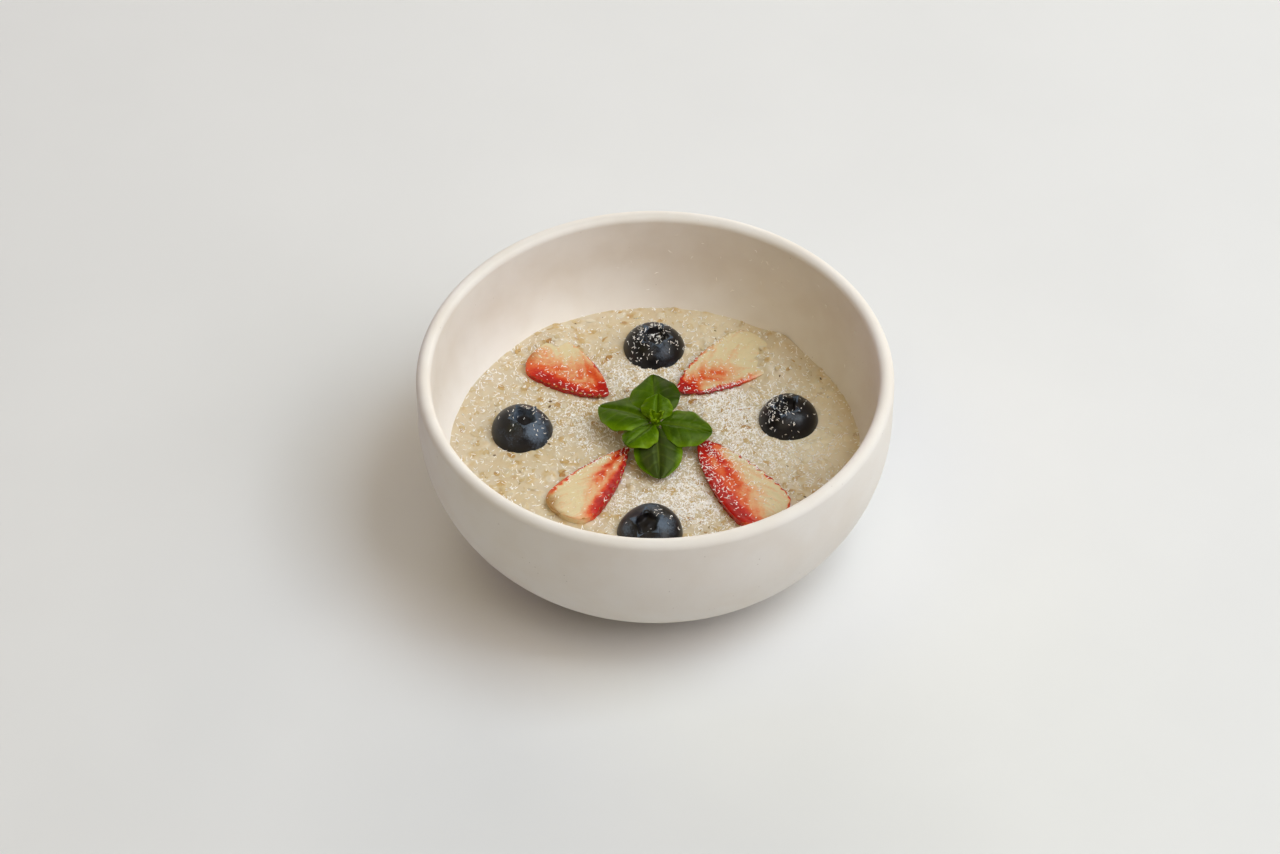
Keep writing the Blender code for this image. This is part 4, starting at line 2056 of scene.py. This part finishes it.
@dataclass
class OatFlakes:
    """Loose oat flakes that lie half sunk in the porridge."""

    count: int = 620
    length: float = 1.45 * MM
    width: float = 1.05 * MM
    thickness: float = 0.24 * MM
    spread: float = 0.985
    flatness: float = 3.0
    tilt: float = 0.13
    sizes: tuple[float, float] = (0.62, 1.12)
    sunk: tuple[float, float] = (0.05, 0.22)
    tone: tuple[float, float] = (0.54, 0.24)
    seed: int = 21

    def _model(self) -> bpy.types.Object:
        """Shape a ball into one flat, creased flake.

        Returns:
            The flake.
        """
        flake = start_ball("flake", 12, 6)

        def shape(spots: np.ndarray) -> np.ndarray:
            """Flatten, crease and curl the flake.

            Args:
                spots: Places, as rows of x, y and z.

            Returns:
                Their new places.
            """
            wide = 1.0 + 0.10 * np.sin(3.0 * np.arctan2(spots[:, 1], spots[:, 0]) + 0.6)
            crease = 0.5 * np.exp(-(spots[:, 1] / 0.22) ** 2) * (spots[:, 2] > 0)
            curl = 0.30 * spots[:, 0] ** 2
            shaped = rows(spots[:, 0] * wide, spots[:, 1] * wide,
                          spots[:, 2] * (1.0 - crease) + curl)
            return shaped * np.array([self.length, self.width, self.thickness])

        reshape(flake, shape)
        return flake

    def build(self, material: bpy.types.Material, landing: Landing, bed: Porridge,
              porridge: str) -> bpy.types.Object:
        """Scatter the flakes as one piece and dress it.

        Args:
            material: The cooked oats.
            landing: Where they come to rest.
            bed: The porridge that they lie in.
            porridge: Name of the porridge.

        Returns:
            The flakes.
        """
        draw = np.random.default_rng(self.seed)
        places, kinds, painted_light_lifts = [], [], []
        for name, spot, normal in landing.hits(draw, bed.radius * self.spread):
            if name != porridge:
                continue
            up = (normal + Vector((0.0, 0.0, self.flatness))).normalized()
            places.append(resting(spot, up, draw.uniform(0, math.tau), draw.normal(0, self.tilt),
                                  draw.normal(0, self.tilt), draw.uniform(*self.sizes),
                                  draw.uniform(*self.sunk) * MM))
            kinds.append(tone_of(draw, *self.tone))
            # Each flake takes the painted light of the porridge under it.
            painted_light_lifts.append(bed.painted_light_at(spot.x, spot.y))
            if len(places) == self.count:
                break
        flakes = scatter("oat_flakes", [self._model()], places,
                         {"kind": kinds, "flake": [1.0] * len(kinds), "cream": painted_light_lifts})
        soften_shading(flakes)
        return present(flakes, material, Slot.OATS)


@dataclass
class BranSpecks:
    """A few brown and olive specks of bran on the porridge."""

    count: int = 46
    size: float = 0.42 * MM
    spread: float = 0.98
    seed: int = 5

    def build(self, material: bpy.types.Material, landing: Landing, radius: float,
              porridge: str) -> bpy.types.Object:
        """Scatter the specks as one piece and dress it.

        Args:
            material: The bran.
            landing: Where they come to rest.
            radius: Radius of the porridge's top.
            porridge: Name of the porridge.

        Returns:
            The specks.
        """
        speck = start_ball("speck", 7, 5)
        reshape(speck, lambda spots: spots * np.array([1.3, 0.7, 0.35]) * self.size)
        draw = np.random.default_rng(self.seed)
        places = []
        for name, spot, normal in landing.hits(draw, radius * self.spread):
            if name != porridge:
                continue
            places.append(resting(spot, normal, draw.uniform(0, math.tau), 0.0,
                                  draw.normal(0, 0.4), draw.uniform(0.5, 1.3), 0.02 * MM))
            if len(places) == self.count:
                break
        specks = scatter("bran_specks", [speck], places)
        soften_shading(specks)
        return present(specks, material, Slot.OATS)


@dataclass
class Coconut:
    """Desiccated coconut sprinkled from above: fine slivers and crumbs."""

    bed: str
    slivers: int = 7400
    crumbs: int = 2600
    wall_slivers: int = 30
    wall_headings: tuple[float, float] = (62.0, 22.0)
    wall_heights: tuple[float, float] = (27.0, 50.0)
    wall_sizes: tuple[float, float] = (0.6, 1.1)
    on_fruit: float = 0.78
    sizes: tuple[float, float] = (0.6, 1.35)
    sunk: tuple[float, float] = (-0.12, 0.04)
    steepest: float = 0.2
    sliver_tilt: float = 0.22
    crumb_tilt: float = 0.5
    bends_and_twists: tuple[tuple[float, float], ...] = ((0.0, 0.3), (0.22, 0.6), (0.45, -0.9))
    crumb_size: tuple[float, float, float] = (0.19, 0.15, 0.12)
    length: float = 0.54 * MM
    width: float = 0.098 * MM
    thickness: float = 0.07 * MM
    base: float = 0.07
    seed: int = 33
    patches: tuple[Patch, ...] = (
        Patch(10 * MM, -20 * MM, 8 * MM, 1.3),
        Patch(15 * MM, -13 * MM, 7 * MM, 0.9),
        Patch(22 * MM, 10 * MM, 10 * MM, 0.40),
        Patch(25 * MM, 0 * MM, 9 * MM, 0.30),
        Patch(36 * MM, -4 * MM, 8 * MM, 0.25),
        Patch(-20 * MM, 9 * MM, 9 * MM, 0.35),
        Patch(-8 * MM, 12 * MM, 9 * MM, 0.35),
        Patch(-5 * MM, -22 * MM, 8 * MM, 0.50),
        Patch(-12 * MM, 27 * MM, 8 * MM, 0.45),
        Patch(4 * MM, 30 * MM, 9 * MM, 0.60),
        Patch(18 * MM, 20 * MM, 7 * MM, 0.80),
        Patch(33 * MM, 16 * MM, 7 * MM, 0.60),
        Patch(-36 * MM, 28 * MM, 14 * MM, 0.14),
    )

    def _sliver(self, number: int, bend: float, twist: float) -> bpy.types.Object:
        """Shape a cube into one thin bent sliver.

        Args:
            number: Its number.
            bend: How far its ends bend away, as a share of its length.
            twist: Its twist in radians.

        Returns:
            The sliver.
        """
        sliver = start_cube(f"sliver_{number}")
        with editing(sliver):
            bpy.ops.mesh.bisect(plane_co=(0.0, 0.0, 0.0), plane_no=(1.0, 0.0, 0.0))

        def shape(spots: np.ndarray) -> np.ndarray:
            """Taper, twist and bend the sliver.

            Args:
                spots: Places, as rows of x, y and z.

            Returns:
                Their new places.
            """
            along = spots[:, 0]
            slim = 1.0 - 0.45 * np.abs(along)
            turn = twist * along
            side = spots[:, 1] * slim * self.width
            up = spots[:, 2] * slim * self.thickness
            across = side * np.cos(turn) - up * np.sin(turn) + bend * along * along * self.length
            over = (side * np.sin(turn) + up * np.cos(turn)
                    + 0.4 * abs(bend) * along * along * self.length)
            return rows(along * self.length, across, over)

        reshape(sliver, shape)
        return sliver

    def _crumb(self) -> bpy.types.Object:
        """Shape a cube into one uneven crumb.

        Returns:
            The crumb.
        """
        crumb = start_cube("crumb")
        swirl = np.array([[3.1, 1.0, 2.0], [1.7, 2.3, 0.4], [0.5, 1.9, 2.9]])
        reshape(crumb, lambda spots: spots * np.array(self.crumb_size) * MM
                * (1.0 + 0.30 * np.sin(spots @ swirl)))
        return crumb

    def thickness_at(self, spot: Vector) -> float:
        """How thick the sprinkle lies at a spot of the porridge, 0 to 1."""
        return self.base + sum(patch.at(spot.x, spot.y) for patch in self.patches)

    def _on_wall(self, draw: np.random.Generator, bowl: Bowl) -> list[Matrix]:
        """Places of the few slivers that cling to the back of the bowl's inner wall.

        Args:
            draw: Source of the random numbers.
            bowl: The bowl.

        Returns:
            Their places.
        """
        places = []
        for _ in range(self.wall_slivers):
            angle = math.radians(draw.normal(*self.wall_headings))
            height = draw.uniform(*self.wall_heights) * MM
            step = 0.5 * MM
            slope = (bowl.inner_radius(height + step) - bowl.inner_radius(height)) / step
            inward = Vector((-math.cos(angle), -math.sin(angle), slope)).normalized()
            radius = bowl.inner_radius(height)
            spot = Vector((radius * math.cos(angle), radius * math.sin(angle), height))
            places.append(resting(spot, inward, draw.uniform(0, math.tau), 0.0,
                                  draw.uniform(0, math.pi), draw.uniform(*self.wall_sizes),
                                  -0.06 * MM))
        return places

    def _places(self, count: int, draw: np.random.Generator, landing: Landing, radius: float,
                catching: Catching, tilt: float) -> list[Matrix]:
        """Drop a number of pieces and lay each where it lands.

        Args:
            count: How many come to rest.
            draw: Source of the random numbers.
            landing: Where they come to rest.
            radius: Radius of the sprinkle.
            catching: How well each piece catches the sprinkle at a spot, by name.
            tilt: How far they tip, in radians.

        Returns:
            Their places.
        """
        places = []
        for name, spot, normal in landing.hits(draw, radius):
            if normal.z < self.steepest or name not in catching:
                continue
            if draw.random() > catching[name](spot):
                continue
            size = draw.uniform(*self.sizes) * (1.0 if name == self.bed else self.on_fruit)
            places.append(resting(spot, normal, draw.uniform(0, math.tau),
                                  draw.normal(0, tilt), draw.uniform(0, math.pi), size,
                                  draw.uniform(*self.sunk) * MM))
            if len(places) == count:
                break
        return places

    def build(self, material: bpy.types.Material, landing: Landing, bowl: Bowl, radius: float,
              catching: Catching) -> list[bpy.types.Object]:
        """Sprinkle the slivers and the crumbs and dress them.

        Args:
            material: The coconut.
            landing: Where they come to rest.
            bowl: The bowl, for the slivers on its wall.
            radius: Radius of the sprinkle.
            catching: How well each piece catches the sprinkle at a spot, by name.

        Returns:
            The slivers and the crumbs.
        """
        draw = np.random.default_rng(self.seed)
        models = [self._sliver(number, bend, twist)
                  for number, (bend, twist) in enumerate(self.bends_and_twists, 1)]
        places = self._places(self.slivers, draw, landing, radius, catching, self.sliver_tilt)
        places += self._on_wall(draw, bowl)
        slivers = scatter("coconut_slivers", models, places)
        crumb_places = self._places(self.crumbs, draw, landing, radius, catching, self.crumb_tilt)
        crumbs = scatter("coconut_crumbs", [self._crumb()], crumb_places)
        return [present(slivers, material, Slot.COCONUT), present(crumbs, material, Slot.COCONUT)]


# The whole

def make_berries() -> list[Blueberry]:
    """The four blueberries: the lean, heading and turn of each crown, its bloom with painted sheen and
    its dust.
    """
    return [
        Blueberry("blueberry_back", 8.0, -60.0, 0.4,
                  bloom=(Patch(0.25, -0.45, 0.35, 0.60), Patch(-0.4, -0.1, 0.25, 0.40)),
                  dust=(Patch(0.10, 0.12, 0.20, 1.2), Patch(-0.2, 0.2, 0.45, 0.20),
                        Patch(0.0, -0.2, 1.0, 0.07), Patch(-0.6, -0.5, 0.35, 0.14))),
        Blueberry("blueberry_left", 8.0, -20.0, 1.9,
                  bloom=(Patch(0.30, -0.30, 0.50, 1.20), Patch(-0.25, 0.05, 0.28, 0.90),
                         Patch(0.35, 0.35, 0.30, 0.60)),
                  dust=(Patch(0.3, 0.3, 0.35, 0.16), Patch(0.7, -0.5, 0.25, 0.16),
                        Patch(-0.2, 0.0, 0.5, 0.04))),
        Blueberry("blueberry_right", 7.0, 200.0, 3.0,
                  bloom=(Patch(0.15, -0.45, 0.25, 0.55), Patch(-0.10, 0.40, 0.20, 0.50)),
                  dust=(Patch(-0.55, -0.1, 0.5, 0.28), Patch(-0.3, 0.4, 0.4, 0.20),
                        Patch(0.0, -0.7, 0.4, 0.14), Patch(0.3, 0.1, 0.4, 0.06))),
        Blueberry("blueberry_front", 15.0, -115.0, 4.4,
                  bloom=(Patch(0.45, 0.0, 0.35, 0.90), Patch(-0.70, 0.0, 0.30, 0.80),
                         Patch(0.1, 0.7, 0.30, 0.60)),
                  dust=(Patch(0.55, 0.3, 0.4, 0.07), Patch(0.0, 0.0, 1.0, 0.01))),
    ]


def make_halves() -> list[StrawberryHalf]:
    """The four strawberry halves, each with its own ripeness."""
    return [
        StrawberryHalf(
            "strawberry_back_left", 138.3, 27.4 * MM, 16.2 * MM, 8.2 * MM, 0.7, -3.0,
            edge_left=0.80, edge_right=0.10, base=0.36,
            zones=(Zone(0.30, -0.60, 0.20, 0.34, 0.26), Zone(0.85, -0.80, 0.28, 0.50, -0.34),
                   Zone(0.50, 0.10, 0.30, 0.30, 0.14), Zone(0.12, 0.0, 0.12, 1.0, 0.30)),
            pale_rims=(Zone(0.85, -1.0, 0.30, 0.30, 0.75), Zone(0.95, 0.8, 0.16, 0.50, 0.35)),
            scorch=(Zone(1.0, 0.55, 0.08, 0.50, 0.75),),
            dust=(Zone(0.45, 0.55, 0.50, 0.50, 0.13), Zone(0.75, -0.10, 0.30, 0.50, 0.12),
                  Zone(0.10, 0.0, 0.14, 0.90, 0.12))),
        StrawberryHalf(
            "strawberry_back_right", 38.0, 31.4 * MM, 17.7 * MM, 8.6 * MM, 0.6, 3.0,
            edge_left=0.16, edge_right=0.30, base=0.14,
            zones=(Zone(0.28, 0.05, 0.18, 0.60, 0.32), Zone(0.44, -0.30, 0.18, 0.46, 0.22),
                   Zone(0.05, 0.0, 0.13, 1.5, 0.46)),
            pale_rims=(Zone(0.90, -1.0, 0.32, 0.60, 1.0), Zone(0.80, 1.0, 0.45, 0.40, 0.85)),
            scorch=(Zone(0.75, 1.0, 0.40, 0.05, 0.45),),
            dust=(Zone(0.45, 0.95, 0.40, 0.18, 0.25), Zone(0.38, -0.98, 0.35, 0.20, 0.55),
                  Zone(0.12, -0.2, 0.16, 0.80, 0.14), Zone(0.40, -0.2, 0.30, 0.6, 0.05))),
        StrawberryHalf(
            "strawberry_front_left", -126.3, 31.4 * MM, 15.6 * MM, 8.0 * MM, 0.8, 4.0,
            edge_left=0.66, edge_right=0.22, base=0.14,
            zones=(Zone(0.26, -0.15, 0.16, 0.26, 0.36), Zone(0.44, 0.05, 0.14, 0.30, 0.24),
                   Zone(0.42, 0.30, 0.26, 0.50, 0.22), Zone(0.10, 0.0, 0.12, 1.0, 0.25)),
            pale_rims=(Zone(0.97, 0.0, 0.12, 1.60, 0.90), Zone(0.70, -1.0, 0.20, 0.20, 0.30)),
            scorch=(Zone(0.94, -0.85, 0.09, 0.40, 1.3), Zone(1.0, 0.0, 0.03, 1.2, 0.6)),
            dust=(Zone(0.25, -0.90, 0.30, 0.20, 0.60), Zone(0.30, 1.05, 0.30, 0.12, 0.16),
                  Zone(0.05, 0.0, 0.10, 1.00, 0.35), Zone(0.30, 0.0, 0.30, 0.60, 0.03))),
        StrawberryHalf(
            "strawberry_front_right", -56.5, 35.6 * MM, 17.4 * MM, 8.6 * MM, 0.6, -4.0,
            edge_left=0.09, edge_right=0.92, base=0.18,
            zones=(Zone(0.32, 0.05, 0.24, 0.32, 0.46), Zone(0.10, 0.0, 0.14, 1.20, 0.34),
                   Zone(0.60, -0.20, 0.30, 0.30, 0.30)),
            pale_rims=(Zone(1.0, 0.2, 0.10, 0.90, 0.60),),
            scorch=(Zone(1.0, 0.1, 0.06, 0.90, 0.45),),
            dust=(Zone(0.32, -0.80, 0.34, 0.35, 0.38), Zone(0.15, 0.30, 0.20, 0.60, 0.40),
                  Zone(0.50, 0.20, 0.30, 0.50, 0.10), Zone(0.35, 0.95, 0.25, 0.20, 0.55))),
    ]


def main() -> None:
    """Build every sub-assembly in order."""
    logging.basicConfig(level=logging.INFO, format="%(name)s: %(message)s")
    Studio().build()
    oats = CookedOats().make()
    bowl = Bowl()
    shell = bowl.build(Stoneware().make())
    porridge = Porridge(bowl)
    core = porridge.build(oats)

    skin = BlueberrySkin().make()
    fruits = make_berries()
    berries = [berry.build(skin) for berry in fruits]
    flesh = StrawberryFlesh().make()
    halves = make_halves()
    cuts = [half.build(flesh) for half in halves]
    Seeds(halves).build(SeedHusk().make())
    BasilSprig().build(BasilLeaf().make())

    # The sprinkle falls before the sprig is laid on it, so it lies under the leaves too.
    ground = Landing([shell, core, *berries, *cuts])
    OatFlakes().build(oats, ground, porridge, core.name)
    BranSpecks().build(BranSkin().make(), ground, porridge.radius, core.name)
    coconut = Coconut(core.name)
    catching: Catching = {core.name: coconut.thickness_at}
    catching |= {item.name: berry.catch for berry, item in zip(fruits, berries)}
    catching |= {item.name: half.catch for half, item in zip(halves, cuts)}
    coconut.build(DriedCoconut().make(), ground, bowl, porridge.radius, catching)


if __name__ == "__main__":
    main()
